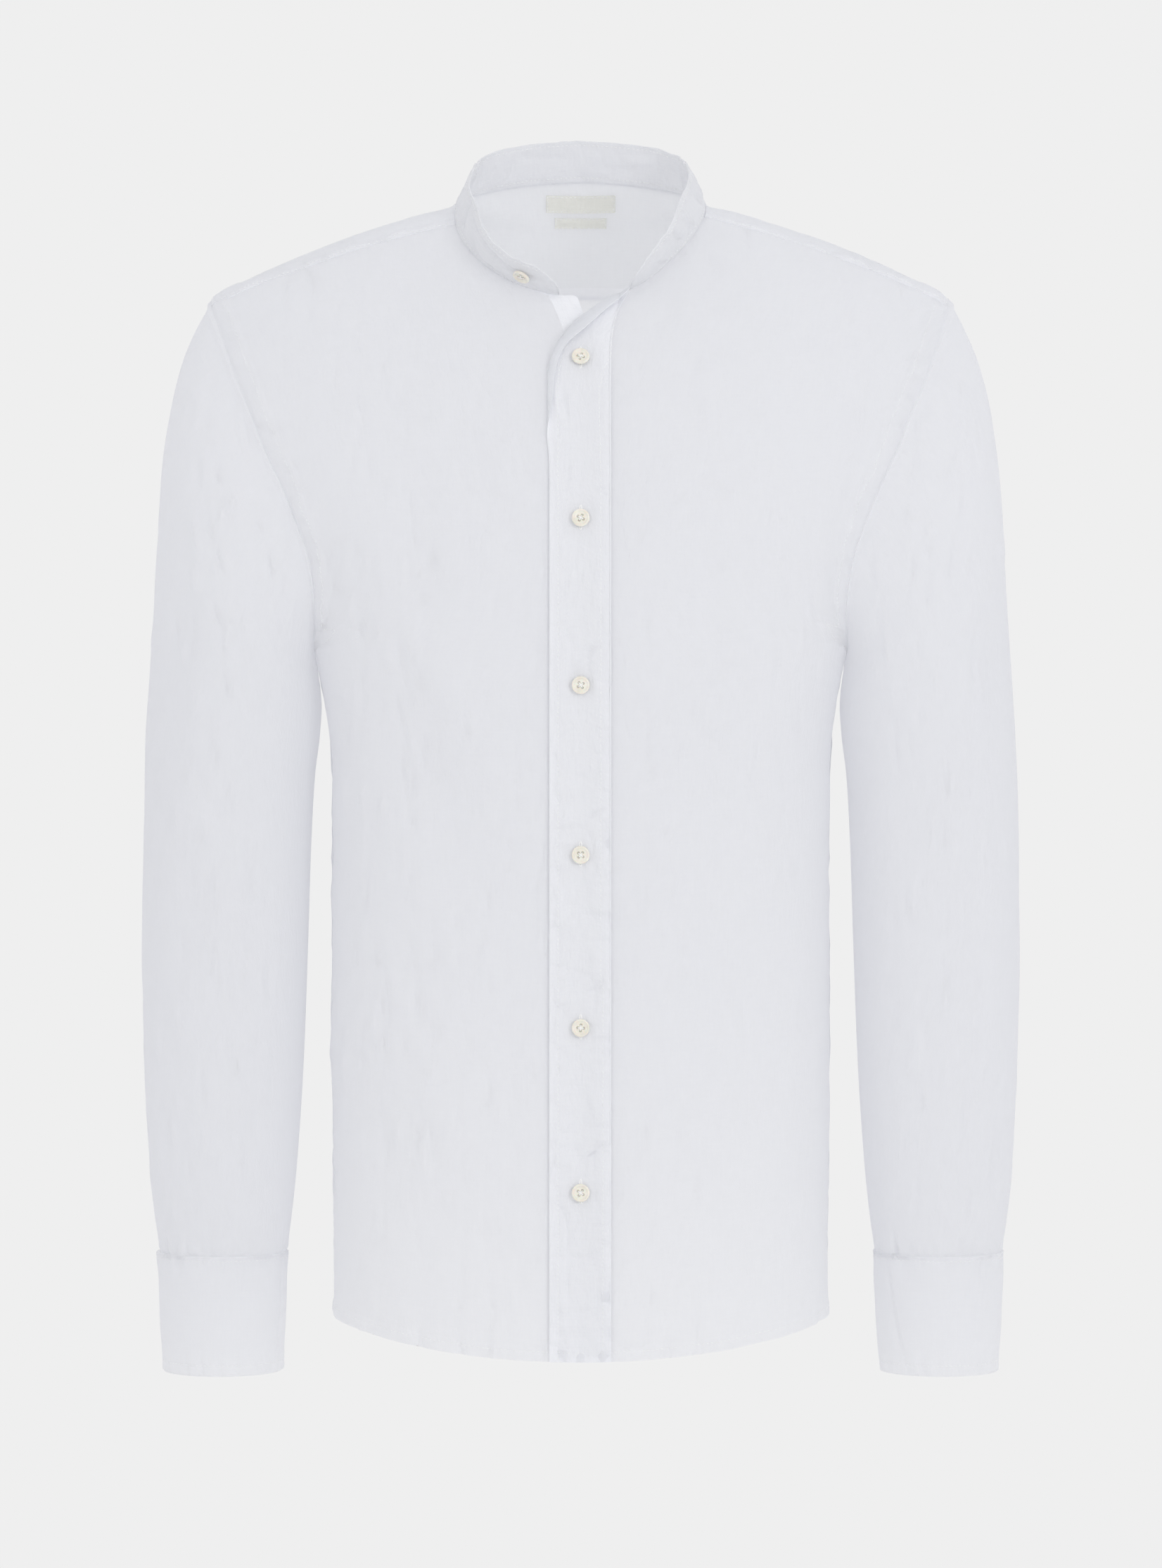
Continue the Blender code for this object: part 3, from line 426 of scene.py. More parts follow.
def scattered(count, seed, across, down, height, lengths=CREASE_LENGTHS, lean=0.22):
    """Small creases strewn over a rectangle: mostly upright, no two alike in length, bow or height."""
    draw = np.random.default_rng(seed).uniform
    length, tilt = draw(*lengths, count), draw(-lean, lean, count)
    a, d = draw(*across, count), draw(*down, count)
    sign = np.where(draw(-1, 1, count) > 0, 1, -1)
    bow, spread = draw(-CREASE_BOW, CREASE_BOW, count) * length, draw(*CREASE_SPREADS, count)
    rise = sign * height * draw(0.35, 1.0, count)
    columns = (a, d, a + length * np.sin(tilt), d - length * np.cos(tilt), bow, spread, rise)
    return dict(zip(CREASE.split(), columns))


def crinkle(across, down, size, seed):
    """Sharp little valleys between soft hills, 0 to -1: one minus the size of two crumples, to a power."""
    return -(1 - np.abs(crumple(across, down, size, seed))) ** 6


# %% The body's creases
FRONT_FOLDS = drawn(
    (-150, -190, -20, -420, 0, 16, 2.8), (-140, -260, -30, -500, 0, 18, -2.4),
    (-110, -120, -85, -340, 0, 16, -2.2), (-120, -470, -60, -640, 0, 22, 2.2),
    (60, -130, 85, -330, 0, 20, -1.8), (140, -240, 95, -430, 0, 18, 2.2), (85, -440, 120, -640, 0, 24, -1.8),
)
BACK_FOLDS = drawn(
    (-150, -230, -60, -420, 0, 20, 3), (145, -240, 50, -450, 0, 20, 3), (-60, -110, -75, -300, 0, 20, -2.4),
    (70, -120, 60, -320, 0, 20, -2.4), (-100, -460, -40, -640, 0, 26, 2.4),
    (110, -440, 60, -650, 0, 26, -2.4),
)
FRONT_CREASES = drawn(
    (-112, -262, -104, -320, 2, 2.2, -1.04), (-109, -318, -101, -372, -2, 2, 1.04),
    (-112, -330, -98, -410, 3, 2.4, -1.04), (-128, -240, -118, -300, 2, 2.2, 1.04),
    (-148, -230, -136, -290, -2, 2, -1.04), (-102, -230, -90, -262, 1, 2, 0.78),
    (-66, -120, -58, -200, 3, 4.5, -1.3), (-95, -120, -86, -160, 2, 1.8, 0.78),
    (124, -262, 118, -330, 2, 2, -1.04), (135, -250, 131, -300, -2, 1.8, 1.04),
    (142, -236, 150, -285, 2, 2.2, -1.3), (103, -300, 99, -345, 1, 1.8, 0.78),
    (68, -30, 98, -52, 3, 5, -2.08),
    (60, -55, 70, -95, 3, 5, 1.56), (52, -70, 44, -120, 2, 2.8, -1.04), (-75, -42, -52, -66, 3, 4, 1.56),
    (-68, -60, -35, -85, 2, 5, -1.56), (-120, -440, -108, -520, 2, 3, 1.04),
    (-80, -560, -90, -640, 3, 3, -1.04), (70, -520, 60, -600, 3, 3, 1.04),
)
BACK_CREASES = drawn(
    (-130, -215, -100, -290, 4, 3.5, -0.8), (134, -220, 108, -300, -4, 3.5, -0.8),
    (-118, -300, -110, -380, 2, 2.4, 0.64), (115, -310, 98, -400, -3, 2.6, 0.64),
    (-30, -70, -40, -180, 3, 6, 0.96), (24, -75, 20, -200, 3, 6, -0.96), (-12, -330, 8, -430, 4, 5, 0.8),
    (60, -560, 80, -640, 3, 4, 0.8), (-75, -540, -60, -650, 3, 4, -0.8),
)
FOLD_FADE_Y = 0.050      # depth over which the body's folds fade towards the side seams
BROAD_HEIGHT, BROAD_SIZE = 0.00045, 0.034
FINE_HEIGHT, FINE_SIZE = 0.00012, 0.011
SHARP_HEIGHT, SHARP_SIZE, SHARP_STRETCH, SHARP_PATCH = 0.0009, 0.016, 0.55, 0.060
BODY_WIDE, BODY_TALL, BACK_LENGTHS = (-0.165, 0.165), (-0.70, -0.09), (0.02, 0.06)
STREWN_FRONT = scattered(330, 11, BODY_WIDE, BODY_TALL, 0.0009)
STREWN_SIDE = scattered(110, 12, (-0.155, -0.085), (-0.62, -0.20), 0.0016)
STREWN_BACK = scattered(150, 13, BODY_WIDE, BODY_TALL, 0.0009, BACK_LENGTHS)


def body_creases(points):
    """The body's folds, which fade towards the side seams, with the small creases and the crumple on them."""
    x, y, z = np.moveaxis(points, -1, 0)
    seen = ease(np.abs(y) / FOLD_FADE_Y)
    ahead = y < 0
    large = np.where(ahead, creases(FRONT_FOLDS, x, z), creases(BACK_FOLDS, x, z))
    small = np.where(ahead, creases(FRONT_CREASES, x, z), creases(BACK_CREASES, x, z))
    strewn = creases(STREWN_FRONT, x, z) + creases(STREWN_SIDE, x, z)
    small = small + np.where(ahead, strewn, creases(STREWN_BACK, x, z))
    across = np.where(ahead, x, x + 1.0)
    uneven = BROAD_HEIGHT * crumple(across, z, BROAD_SIZE, 3) + FINE_HEIGHT * crumple(across, z, FINE_SIZE, 5)
    sharp = SHARP_HEIGHT * crinkle(across, z * SHARP_STRETCH, SHARP_SIZE, 7)
    sharp = sharp * ease(0.5 + crumple(across, z, SHARP_PATCH, 9))
    return seen * large + small + uneven + sharp


def body_layer(points, height):
    """Points of the form moved straight out by a height."""
    return points + np.asarray(height)[..., None] * body_normal(points)


# %% [markdown]
# ## From a grid to a sheet of cloth
#
# A sheet is two grids of the same points, the outer face and the inner face, closed by a rim. Its UV map is
# measured along the cloth in metres, so the weave keeps its size and runs with the threads. Distances from a
# seam are measured along the grid's lines and squared up where the lines meet the seam at a slant.

# %% Walls and edges
CLOTH = 0.0015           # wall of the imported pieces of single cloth, whose outer face the linen keeps
DOUBLED = 0.0020         # the same for doubled ones
LINEN_WALL = 0.0007      # one layer of linen, as thick as it has to be to hold its edge in the light
SHARP_EDGE = math.radians(40.0)
made_sheets = {}


# %% Distances from a seam
def turned(grid, edge):
    """The grid turned so that its left, right, bottom or top edge is the first row."""
    if edge in ("bottom", "top"):
        grid = grid.swapaxes(0, 1)
    return grid[::-1] if edge in ("right", "top") else grid


def turned_back(grid, edge):
    grid = grid[::-1] if edge in ("right", "top") else grid
    return grid.swapaxes(0, 1) if edge in ("bottom", "top") else grid


def first_row_distance(grid):
    """Distance of each point from the first row: the run along the lines, times the sine of their slant."""
    slant = np.linalg.norm(np.cross(unit(np.gradient(grid[0], axis=0)), unit(grid[2] - grid[0])), axis=-1)
    return run_along(grid) * np.clip(slant, 0.2, 1)


def from_edge(grid, edge):
    """Distance of each point of a grid from one of its edges."""
    return turned_back(first_row_distance(turned(grid, edge)), edge)


def line_inside(grid, edge, distance, start=0.0):
    """The line at a distance inside an edge, from a share of the edge's length on, for a row of stitches."""
    grid = turned(grid, edge)
    run = first_row_distance(grid)
    below = np.clip((run < distance).sum(axis=0) - 1, 0, len(run) - 2)[None]
    low, high = (np.take_along_axis(run, below + k, 0) for k in (0, 1))
    share = np.clip((distance - low) / (high - low), 0, 1)[..., None]
    ends = [np.take_along_axis(grid, (below + k)[..., None], 0) for k in (0, 1)]
    line = ((1 - share) * ends[0] + share * ends[1])[0]
    run = run_along(line)
    return line[run / run[-1] >= start]


# %% What sewing does to the cloth
def seam_ridge(distance, height=0.0002, width=0.0013):
    """The cloth heaped up along a seam: a narrow ridge just inside it, that falls off at its very edge."""
    return height * (np.exp(-((distance - 0.0012) / width) ** 2) - 0.7 * np.exp(-(distance / 0.0004) ** 2))


def welt(distance, width, height=0.00040):
    """A stitched-down allowance under the cloth: a low step that ends at a width from the seam."""
    return height * (1 - ease((distance - width) / 0.0016))


def stitch_groove(distance, at, depth=0.00010):
    """The dent that a tight row of stitches pulls into the cloth: a narrow bell across the row."""
    return -depth * np.exp(-((distance - at) / 0.0009) ** 2)


def puckers(along, distance, spacing, reach, seed, height=0.00045):
    """Small ridges square to a seam, unevenly spaced along it, fading away from it over a reach."""
    flat = 0 * along
    ripple = crumple(along, flat, spacing, seed) + 0.6 * crumple(along, flat, spacing * 0.47, seed + 1)
    return height * ripple * np.exp(-(distance / reach) ** 2)


# %% Meshes
def cloth_uv(grid):
    """Places on the cloth in metres: across and down, each measured along the grid's lines."""
    u, v = run_along(grid), run_along(grid.swapaxes(0, 1)).T
    return np.stack((u - u[-1:] / 2, v), axis=-1)


def mesh_object(name, points, faces, material):
    """A smooth object from points and faces."""
    mesh = bpy.data.meshes.new(name)
    mesh.from_pydata(points.reshape(-1, 3).tolist(), [], faces)
    mesh.materials.append(material)
    mesh.shade_smooth()
    piece = bpy.data.objects.new(name, mesh)
    scene.collection.objects.link(piece)
    return piece


def brought_round(grid, axis=0):
    """A grid followed by its own first line again, so that it closes up."""
    return np.concatenate((grid, np.take(grid, [0], axis)), axis)


def grid_faces(index):
    """The four-cornered faces between the lines of a grid of point numbers."""
    four = index[:-1, :-1], index[1:, :-1], index[1:, 1:], index[:-1, 1:]
    return np.stack(four, axis=-1).reshape(-1, 4)


# %% A sheet, its edge, its faces and its size
def sheet(name, outer, inner, material, closed=False):
    """A thin closed wall between two grids: both faces, and a rim between their edges."""
    across, down = outer.shape[:2]
    index = np.arange(across * down).reshape(across, down)
    flat = cloth_uv(brought_round(outer) if closed else outer)
    place = np.arange(flat[..., 0].size).reshape(flat.shape[:2])
    if closed:
        index = brought_round(index)
    under = across * down

    def corners(grid, lift):
        rims = [(grid[1:, 0], grid[:-1, 0]), (grid[:-1, -1], grid[1:, -1])]
        if not closed:
            rims += [(grid[0, :-1], grid[0, 1:]), (grid[-1, 1:], grid[-1, :-1])]
        walls = [np.stack((start, end, end + lift, start + lift), axis=-1) for start, end in rims]
        return np.concatenate([grid_faces(grid), grid_faces(grid)[:, ::-1] + lift, *walls])

    faces, places = corners(index, under), corners(place, 0)
    i, j = across // 2, down // 2
    facing = np.cross(outer[i + 1, j] - outer[i, j], outer[i, j + 1] - outer[i, j])
    if np.dot(facing, outer[i, j] - inner[i, j]) < 0:
        faces, places = faces[:, ::-1], places[:, ::-1]
    points = np.concatenate((outer.reshape(-1, 3), inner.reshape(-1, 3)))
    piece = mesh_object(name, points, faces.tolist(), material)
    cloth = piece.data.uv_layers.new(name="cloth").data
    cloth.foreach_set("uv", flat.reshape(-1, 2)[places].astype(np.float32).ravel())
    piece.data.set_sharp_from_angle(angle=SHARP_EDGE)
    middle = (outer + inner) / 2
    made_sheets[name] = brought_round(middle) if closed else middle
    return piece


def tucked(outer, inner, edge, reach=0.0015, dip=0.0003):
    """Carries a sheet's edge on beneath its neighbour: one more row, further out and a little deeper."""
    wall = turned(outer, edge)[0] - turned(inner, edge)[0]
    grids = []
    for grid in (outer, inner):
        rows = turned(grid, edge)
        first = rows[0] + reach * unit(rows[0] - rows[3]) - dip * unit(wall)
        grids.append(turned_back(np.concatenate((first[None], rows)), edge))
    return grids


def paint_face(piece, chosen, material, inside):
    """Gives a second material to the chosen faces of a sheet's outer side, or to those of its inner side."""
    piece.data.materials.append(material)
    index = np.zeros(len(piece.data.polygons), int)
    start = chosen.size if inside else 0
    index[start:start + chosen.size] = chosen.ravel()
    piece.data.polygons.foreach_set("material_index", index)


def cut_size(name):
    """A sheet's flat size: its longest run across, its longest run down, and the area of its middle."""
    grid = made_sheets[name]
    across, down = (run_along(way)[-1].max() for way in (grid, grid.swapaxes(0, 1)))
    one, other = grid[1:, 1:] - grid[:-1, :-1], grid[1:, :-1] - grid[:-1, 1:]
    area = np.linalg.norm(np.cross(one, other), axis=-1).sum() / 2
    return across, down, area


# %% [markdown]
# ## Materials
#
# The shirt is plain-woven white linen. Its threads are uneven: thick and thin places run along them, which
# gives the cloth its faint cross-hatch, and it has no gloss, only a slight fuzz that lightens its edges. The
# real threads lie about half a millimetre apart. That is a little too fine to show, so the weave is drawn at
# six tenths, and the thick places of the threads at their real length of a centimetre or two.

# %% Adding nodes
def add_node(tree, kind, inputs=None, **settings):
    """Adds a node, with its settings, and its inputs as values or as links from other nodes' outputs."""
    node = tree.nodes.new(kind)
    for name, value in settings.items():
        setattr(node, name, value)
    for name, value in (inputs or {}).items():
        if isinstance(value, bpy.types.NodeSocket):
            tree.links.new(value, node.inputs[name])
        else:
            node.inputs[name].default_value = value
    return node


def new_material(name, **values):
    """A material and its shader, with plain values set straight on the shader's sockets."""
    material = bpy.data.materials.new(name)
    material.use_nodes = True
    shader = material.node_tree.nodes["Principled BSDF"]
    for socket, value in values.items():
        shader.inputs[socket.replace("_", " ")].default_value = value
    return material, material.node_tree, shader


# %% Linen
THREAD, WEAVE_DEPTH = 0.0006, 0.00003    # spacing of the threads, and how far they stand up
SLUB_LENGTH, SLUB_WIDTH = 0.014, 0.0011
CRINKLE_DEPTH, CRINKLE_SIZE = 0.0010, (0.004, 0.011)     # what washing has left between the slubs
FIBRE = "#FEFEFF"        # bleached flax, as light that has passed through it looks
WAVE_PERIOD = math.pi / 10               # length of one wave of the Wave Texture at scale 1


def linen(name, light, dark, through=0.7):
    """Woven linen: slubs along both threads tint and raise it, over the small squares of a plain weave.

    A share of the light goes on through each face, and leaves a thin sheet nearly as bright inside as out.
    """
    material, tree, shader = new_material(
        name, Roughness=0.88, Specular_IOR_Level=0.25, Sheen_Weight=0.05, Sheen_Roughness=0.5)
    place = add_node(tree, "ShaderNodeUVMap", uv_map="cloth").outputs["UV"]
    slubs = []
    for size in ((SLUB_WIDTH, SLUB_LENGTH, 1), (SLUB_LENGTH, SLUB_WIDTH, 1)):
        stretched = add_node(tree, "ShaderNodeMapping", {"Vector": place, "Scale": [1 / s for s in size]})
        slubs.append(add_node(tree, "ShaderNodeTexNoise",
                              {"Vector": stretched.outputs[0], "Scale": 1.0, "Detail": 2.0}).outputs[0])
    both = add_node(tree, "ShaderNodeMath", {0: slubs[0], 1: slubs[1]}, operation="ADD").outputs[0]
    tint = add_node(tree, "ShaderNodeMapRange", {"Value": both, "From Min": 0.6, "From Max": 1.4}).outputs[0]
    tones = {6: linear(dark), 7: linear(light)}
    colour = add_node(tree, "ShaderNodeMix", {"Factor": tint, **tones}, data_type="RGBA")
    tree.links.new(colour.outputs[2], shader.inputs["Base Color"])
    threads = [add_node(tree, "ShaderNodeTexWave", {"Vector": place, "Scale": WAVE_PERIOD / THREAD},
                        bands_direction=way).outputs["Fac"] for way in ("X", "Y")]
    weave = add_node(tree, "ShaderNodeMath", {0: threads[0], 1: threads[1]}, operation="MULTIPLY").outputs[0]
    relief = add_node(tree, "ShaderNodeMath", {0: weave, 1: both}, operation="ADD").outputs[0]
    per_metre = [1 / size for size in (*CRINKLE_SIZE, 1)]
    washed = add_node(tree, "ShaderNodeMapping", {"Vector": place, "Scale": per_metre})
    crinkles = add_node(tree, "ShaderNodeTexNoise",
                        {"Vector": washed.outputs[0], "Scale": 1.0, "Detail": 4.0, "Roughness": 0.6})
    soft = add_node(tree, "ShaderNodeBump", {"Height": crinkles.outputs[0], "Strength": 1.0,
                                             "Distance": CRINKLE_DEPTH})
    bump = add_node(tree, "ShaderNodeBump", {"Height": relief, "Strength": 1.0, "Distance": WEAVE_DEPTH,
                                             "Normal": soft.outputs[0]})
    tree.links.new(bump.outputs[0], shader.inputs["Normal"])
    beyond = add_node(tree, "ShaderNodeBsdfTranslucent", {"Color": linear(FIBRE)})
    both_ways = {1: shader.outputs[0], 2: beyond.outputs[0]}
    shared = add_node(tree, "ShaderNodeMixShader", {"Fac": through, **both_ways})
    tree.links.new(shared.outputs[0], tree.nodes["Material Output"].inputs["Surface"])
    return material


# %% Kinds of linen
LINEN = linen("plain_woven_linen", "#F7F8FA", "#F1F2F5")
LINEN_DOUBLED = linen("folded_double_linen", "#FAFBFF", "#F5F6FB", through=0.22)
LINEN_TWO_LAYERS = linen("two_layer_linen", "#F9FAFD", "#F4F5F9", through=0.58)
# The interlined collar lets less light through, and its greyer tone is painted shade for the darker band.
LINEN_STIFFENED_SHADED = linen("interlined_linen_painted_shade", "#F2F3F6", "#EBECF0", through=0.45)
# Painted shade: a greyer linen given to inner faces in place of the shade they lie in, inside the yoke and on
# the placket's underside.
LINEN_PAINTED_SHADE = linen("linen_painted_shade", "#EFF1F3", "#E6E8EB", through=0.65)

# %% [markdown]
# The buttons are cast polyester resin with a faint cloudiness, turned and polished, so they keep a soft
# gloss. Their thread and the seams' thread is spun polyester, matt with a slight sheen. The labels are a
# smooth woven ribbon, a shade greyer than the linen, and stay bare.

# %% Resin, thread and ribbon
CLOUD_SIZE, THREAD_TURN = 0.004, 0.00035


def clouded_resin():
    """Cast resin: cream with soft cloudy patches a few millimetres wide, and a gloss."""
    material, tree, shader = new_material("cast_resin", Roughness=0.32, IOR=1.5, Subsurface_Weight=0.15,
                                          Subsurface_Scale=0.002)
    place = add_node(tree, "ShaderNodeTexCoord").outputs["Object"]
    cloud = add_node(tree, "ShaderNodeTexNoise", {"Vector": place, "Scale": 1 / CLOUD_SIZE, "Detail": 3.0})
    spread = add_node(tree, "ShaderNodeMapRange",
                      {"Value": cloud.outputs[0], "From Min": 0.3, "From Max": 0.7}).outputs[0]
    tones = {6: linear("#E6E2D5"), 7: linear("#F3F0E7")}
    colour = add_node(tree, "ShaderNodeMix", {"Factor": spread, **tones}, data_type="RGBA")
    tree.links.new(colour.outputs[2], shader.inputs["Base Color"])
    return material


def twisted(name, light, dark, roughness):
    """Spun thread: fine light and dark turns of its strands, a third of a millimetre apart."""
    material, tree, shader = new_material(name, Roughness=roughness, Sheen_Weight=0.2)
    place = add_node(tree, "ShaderNodeTexCoord").outputs["Object"]
    turns = add_node(tree, "ShaderNodeTexWave", {"Vector": place, "Scale": WAVE_PERIOD / THREAD_TURN},
                     bands_direction="DIAGONAL").outputs["Fac"]
    tones = {6: linear(dark), 7: linear(light)}
    colour = add_node(tree, "ShaderNodeMix", {"Factor": turns, **tones}, data_type="RGBA")
    tree.links.new(colour.outputs[2], shader.inputs["Base Color"])
    return material


RESIN = clouded_resin()
THREAD_WHITE = twisted("spun_thread", "#FFFFFF", "#F4F5F7", 0.7)
RIBBON = linen("woven_ribbon", "#FDFDF6", "#F6F6EE", through=0.3)

# %% [markdown]
# ## Stitches
#
# A row of topstitching is a line of short threads, each about two and a half millimetres long, lying in its
# own dent. Each stitch is one small capsule of five sides, copied along the row by whole arrays.

# %% One stitch
STITCH_PITCH, STITCH_LENGTH, STITCH_WIDTH = 0.0029, 0.0021, 0.00022
STITCH_LIFT, STITCH_AHEAD = 0.00004, 0.0005      # how far out a stitch lies, and how far on it aims


def capsule():
    """A stitch's points, its length along x, and its faces: two rings of five and a point at each end."""
    turn, k = np.arange(5) * 2 * math.pi / 5, np.arange(5)
    ring = as_points(0.0, np.cos(turn), np.sin(turn)) * STITCH_WIDTH
    ends = np.array([(-0.5, 0, 0), (0.5, 0, 0)]) * STITCH_LENGTH - (0, 0, STITCH_WIDTH)
    points = np.concatenate((ring - (0.3 * STITCH_LENGTH, 0, 0), ring + (0.3 * STITCH_LENGTH, 0, 0), ends))
    after = (k + 1) % 5
    quads = np.stack((k, k + 5, after + 5, after), -1)
    tips = np.concatenate((as_points(after, 10, k), as_points(k + 5, 11, after + 5)))
    return points, quads, tips


# %% A row's stitches
def stitches(name, rows):
    """One object of all the stitches on several lines, each line given as points and their way out."""
    shape, quads, tips = capsule()
    places, frames = [], []
    for line, out in rows:
        run = run_along(line)
        at = (np.arange(int(run[-1] / STITCH_PITCH)) + 0.5) * STITCH_PITCH
        middle, normal = straight(at, run, line), unit(straight(at, run, out))
        ahead = straight(at + STITCH_AHEAD, run, line) - middle
        way = unit(ahead - (ahead * normal).sum(-1, keepdims=True) * normal)
        places.append(middle + STITCH_LIFT * normal)
        frames.append(np.stack((way, np.cross(normal, way), normal), 1))
    places, frames = np.concatenate(places), np.concatenate(frames)
    points = places[:, None] + shape @ frames
    start = (np.arange(len(places)) * len(shape))[:, None, None]
    faces = (start + quads).reshape(-1, 4).tolist() + (start + tips).reshape(-1, 3).tolist()
    piece = mesh_object(name, points, faces, THREAD_WHITE)
    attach(piece, "root")
    print(name, len(places), "stitches")


seam_rows = {}           # rows of stitches found while the pieces are made, by the object they go into


def add_row(group, line):
    """Keeps a row that lies on the body, with the form's own way out."""
    seam_rows.setdefault(group, []).append((line, body_normal(line)))


# %% [markdown]
# ## The back
#
# The back is one panel from side seam to side seam, below the yoke. It hangs plainly, with soft folds that
# run in from the armholes and down from the shoulder blades, a narrow hem and felled side seams.

# %% Sizes of the back
BACK_STEP, BACK_ROW_STEP = 0.0044, 0.0046
HEM_WIDTH, HEM_STITCH = 0.0065, 0.0058
FELL_WIDTH, FELL_STITCH = 0.0060, 0.0052


# %% What every sheet says
HAND = {-1: "right", 1: "left"}


def finish_sheet(piece, name):
    """What every sheet says: it rides on the shirt, stands for its wall, and was cut to a flat size."""
    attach(piece, "root")
    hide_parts(name)
    across, down, area = cut_size(piece.name)
    size = f"{across * 1000:.0f} x {down * 1000:.0f} mm, {area * 1e4:.0f} cm2"
    print(f"{piece.name}: {size}, {len(piece.data.polygons)} faces")


# %% Back
def make_back():
    right = joined(side_seam(-1), armhole(np.linspace(-math.pi, YOKE_BACK_TURN, LINE_POINTS), -1))
    turns = np.linspace(1.5 * math.pi, 0.5 * math.pi, LINE_POINTS)
    u, v = spaced(0.42, BACK_STEP), spaced(0.66, BACK_ROW_STEP)
    grid = body_panel(body_point(turns, hem_height(turns)), back_yoke_seam(), right, right * (-1, 1, 1), u, v)
    side = np.minimum(from_edge(grid, "left"), from_edge(grid, "right"))
    hem, top = from_edge(grid, "bottom"), from_edge(grid, "top")
    x, z = grid[..., 0], grid[..., 2]
    bare = body_creases(grid)
    height = bare + seam_ridge(side) + welt(hem, HEM_WIDTH) + stitch_groove(hem, HEM_STITCH)
    height += welt(side, FELL_WIDTH) + stitch_groove(side, FELL_STITCH)
    height += puckers(x, hem, spacing=0.008, reach=0.010, seed=21)
    height += puckers(z, side, spacing=0.009, reach=0.010, seed=23, height=0.0003)
    height += puckers(x, top, spacing=0.010, reach=0.012, seed=25, height=0.0003)
    outer, inner = body_layer(grid, height + CLOTH / 2), body_layer(grid, bare + CLOTH / 2 - LINEN_WALL)
    add_row("hem_stitches", line_inside(outer, "bottom", HEM_STITCH))
    for edge in ("left", "right"):
        add_row("side_stitches", line_inside(outer, edge, FELL_STITCH))
    finish_sheet(sheet("back_linen", *tucked(outer, inner, "top"), LINEN), "back")


make_back()

# %% [markdown]
# ## The yoke
#
# The yoke is cut double and lies over both shoulders. Its edges are turned under and stitched close to the
# fold, so along the seams it stands a little over the fronts and the back.

# %% Sizes of the yoke
YOKE_STEPS = 190
YOKE_STITCH, YOKE_WELT, YOKE_WELT_HEIGHT = 0.0017, 0.0045, 0.0009
# Beyond this width from its seams, the yoke's inner face carries painted shade.
YOKE_TURNING = 0.0090    # width of the turned-under edge, the same plain cloth on both faces


# %% The yoke's points
def yoke_grid():
    """The yoke from the neckline to its outer edge, spaced by the run down the shoulder's outline."""
    heights = np.linspace(BODY["z"][0], BODY["z"][-1], 801)
    run = np.cumsum(np.hypot(np.gradient(heights), np.gradient(read(BODY, heights)[0])))
    tip = armhole(np.linspace(YOKE_FRONT_TURN, YOKE_BACK_TURN, LINE_POINTS), -1)
    outside = joined(tip, back_yoke_seam(), tip[::-1] * (-1, 1, 1))
    neck = neckline(np.linspace(-YOKE_NECK_TURN, YOKE_NECK_TURN, 4 * LINE_POINTS))
    u = np.linspace(0, 1, YOKE_STEPS + 1)
    v = spaced(0.15, 0.0032, dense=0.006)
    corners = ((neck, u), (outside, u), (front_yoke_seam(-1), v), (front_yoke_seam(1), v))
    edges = [body_place(at_shares(edge, shares)) for edge, shares in corners]
    for edge in edges:
        edge[:, 1] = np.interp(edge[:, 1], heights, run)
    flat = between_edges(*edges, u, v, fade=YOKE_FADE)
    return body_point(flat[..., 0], np.interp(flat[..., 1], run, heights))


# %% Yoke
def make_yoke():
    grid = yoke_grid()
    left, right, outside, neck = (from_edge(grid, edge) for edge in ("left", "right", "top", "bottom"))
    front = np.minimum(left, right)
    seam = np.minimum(front, outside)
    x, y = grid[..., 0], grid[..., 1]
    bare = body_creases(grid)
    height = bare + welt(seam, YOKE_WELT, YOKE_WELT_HEIGHT) + stitch_groove(seam, YOKE_STITCH, 0.00012)
    height -= 0.00030 * (1 - ease(seam / 0.0006))
    height += puckers(x, front, spacing=0.007, reach=0.011, seed=31, height=0.0015)
    height += puckers(x, outside, spacing=0.010, reach=0.010, seed=33, height=0.0003)
    height += puckers(x + y, neck, spacing=0.007, reach=0.008, seed=35, height=0.0009)
    outer = body_layer(grid, height + CLOTH / 2)
    piece = sheet("yoke_linen", outer, body_layer(grid, bare - CLOTH / 2), LINEN_TWO_LAYERS)
    # Painted shade: the yoke's inner face, past its turned-under edges, gets the greyer linen for the shade
    # inside the neck.
    paint_face(piece, seam[:-1, :-1] > YOKE_TURNING, LINEN_PAINTED_SHADE, inside=True)
    finish_sheet(piece, "yoke")
    for edge in ("left", "right", "top"):
        add_row("yoke_stitches", line_inside(outer, edge, YOKE_STITCH))


make_yoke()

# %% [markdown]
# ## The fronts
#
# The two fronts mirror each other but for the opening: the left one laps over and carries the placket, the
# right one runs under it. The armhole's allowance is felled to the body and stitched ten millimetres inside
# the seam, which shows as a low welt.

# %% Sizes of the fronts
FRONT_STEP, STRIP_STEP, ROW_STEP = 0.0020, 0.0018, 0.0036
ARMHOLE_STITCH, ARMHOLE_WELT, ARMHOLE_FADE = 0.0100, 0.0112, (-0.004, 0.006)
ARMHOLE_WELT_HEIGHT, FELLED_RIDGE, FELLED_WIDTH = 0.0006, 0.0004, 0.0014
UNDER_HEM = 0.016        # width of the double fold on the right front's own edge
BENEATH_EDGE = (-0.0210, -0.0170)        # where the right front dips beneath the placket's free edge
BENEATH_Z = (-0.095, -0.120)             # the heights between which that dip grows steep


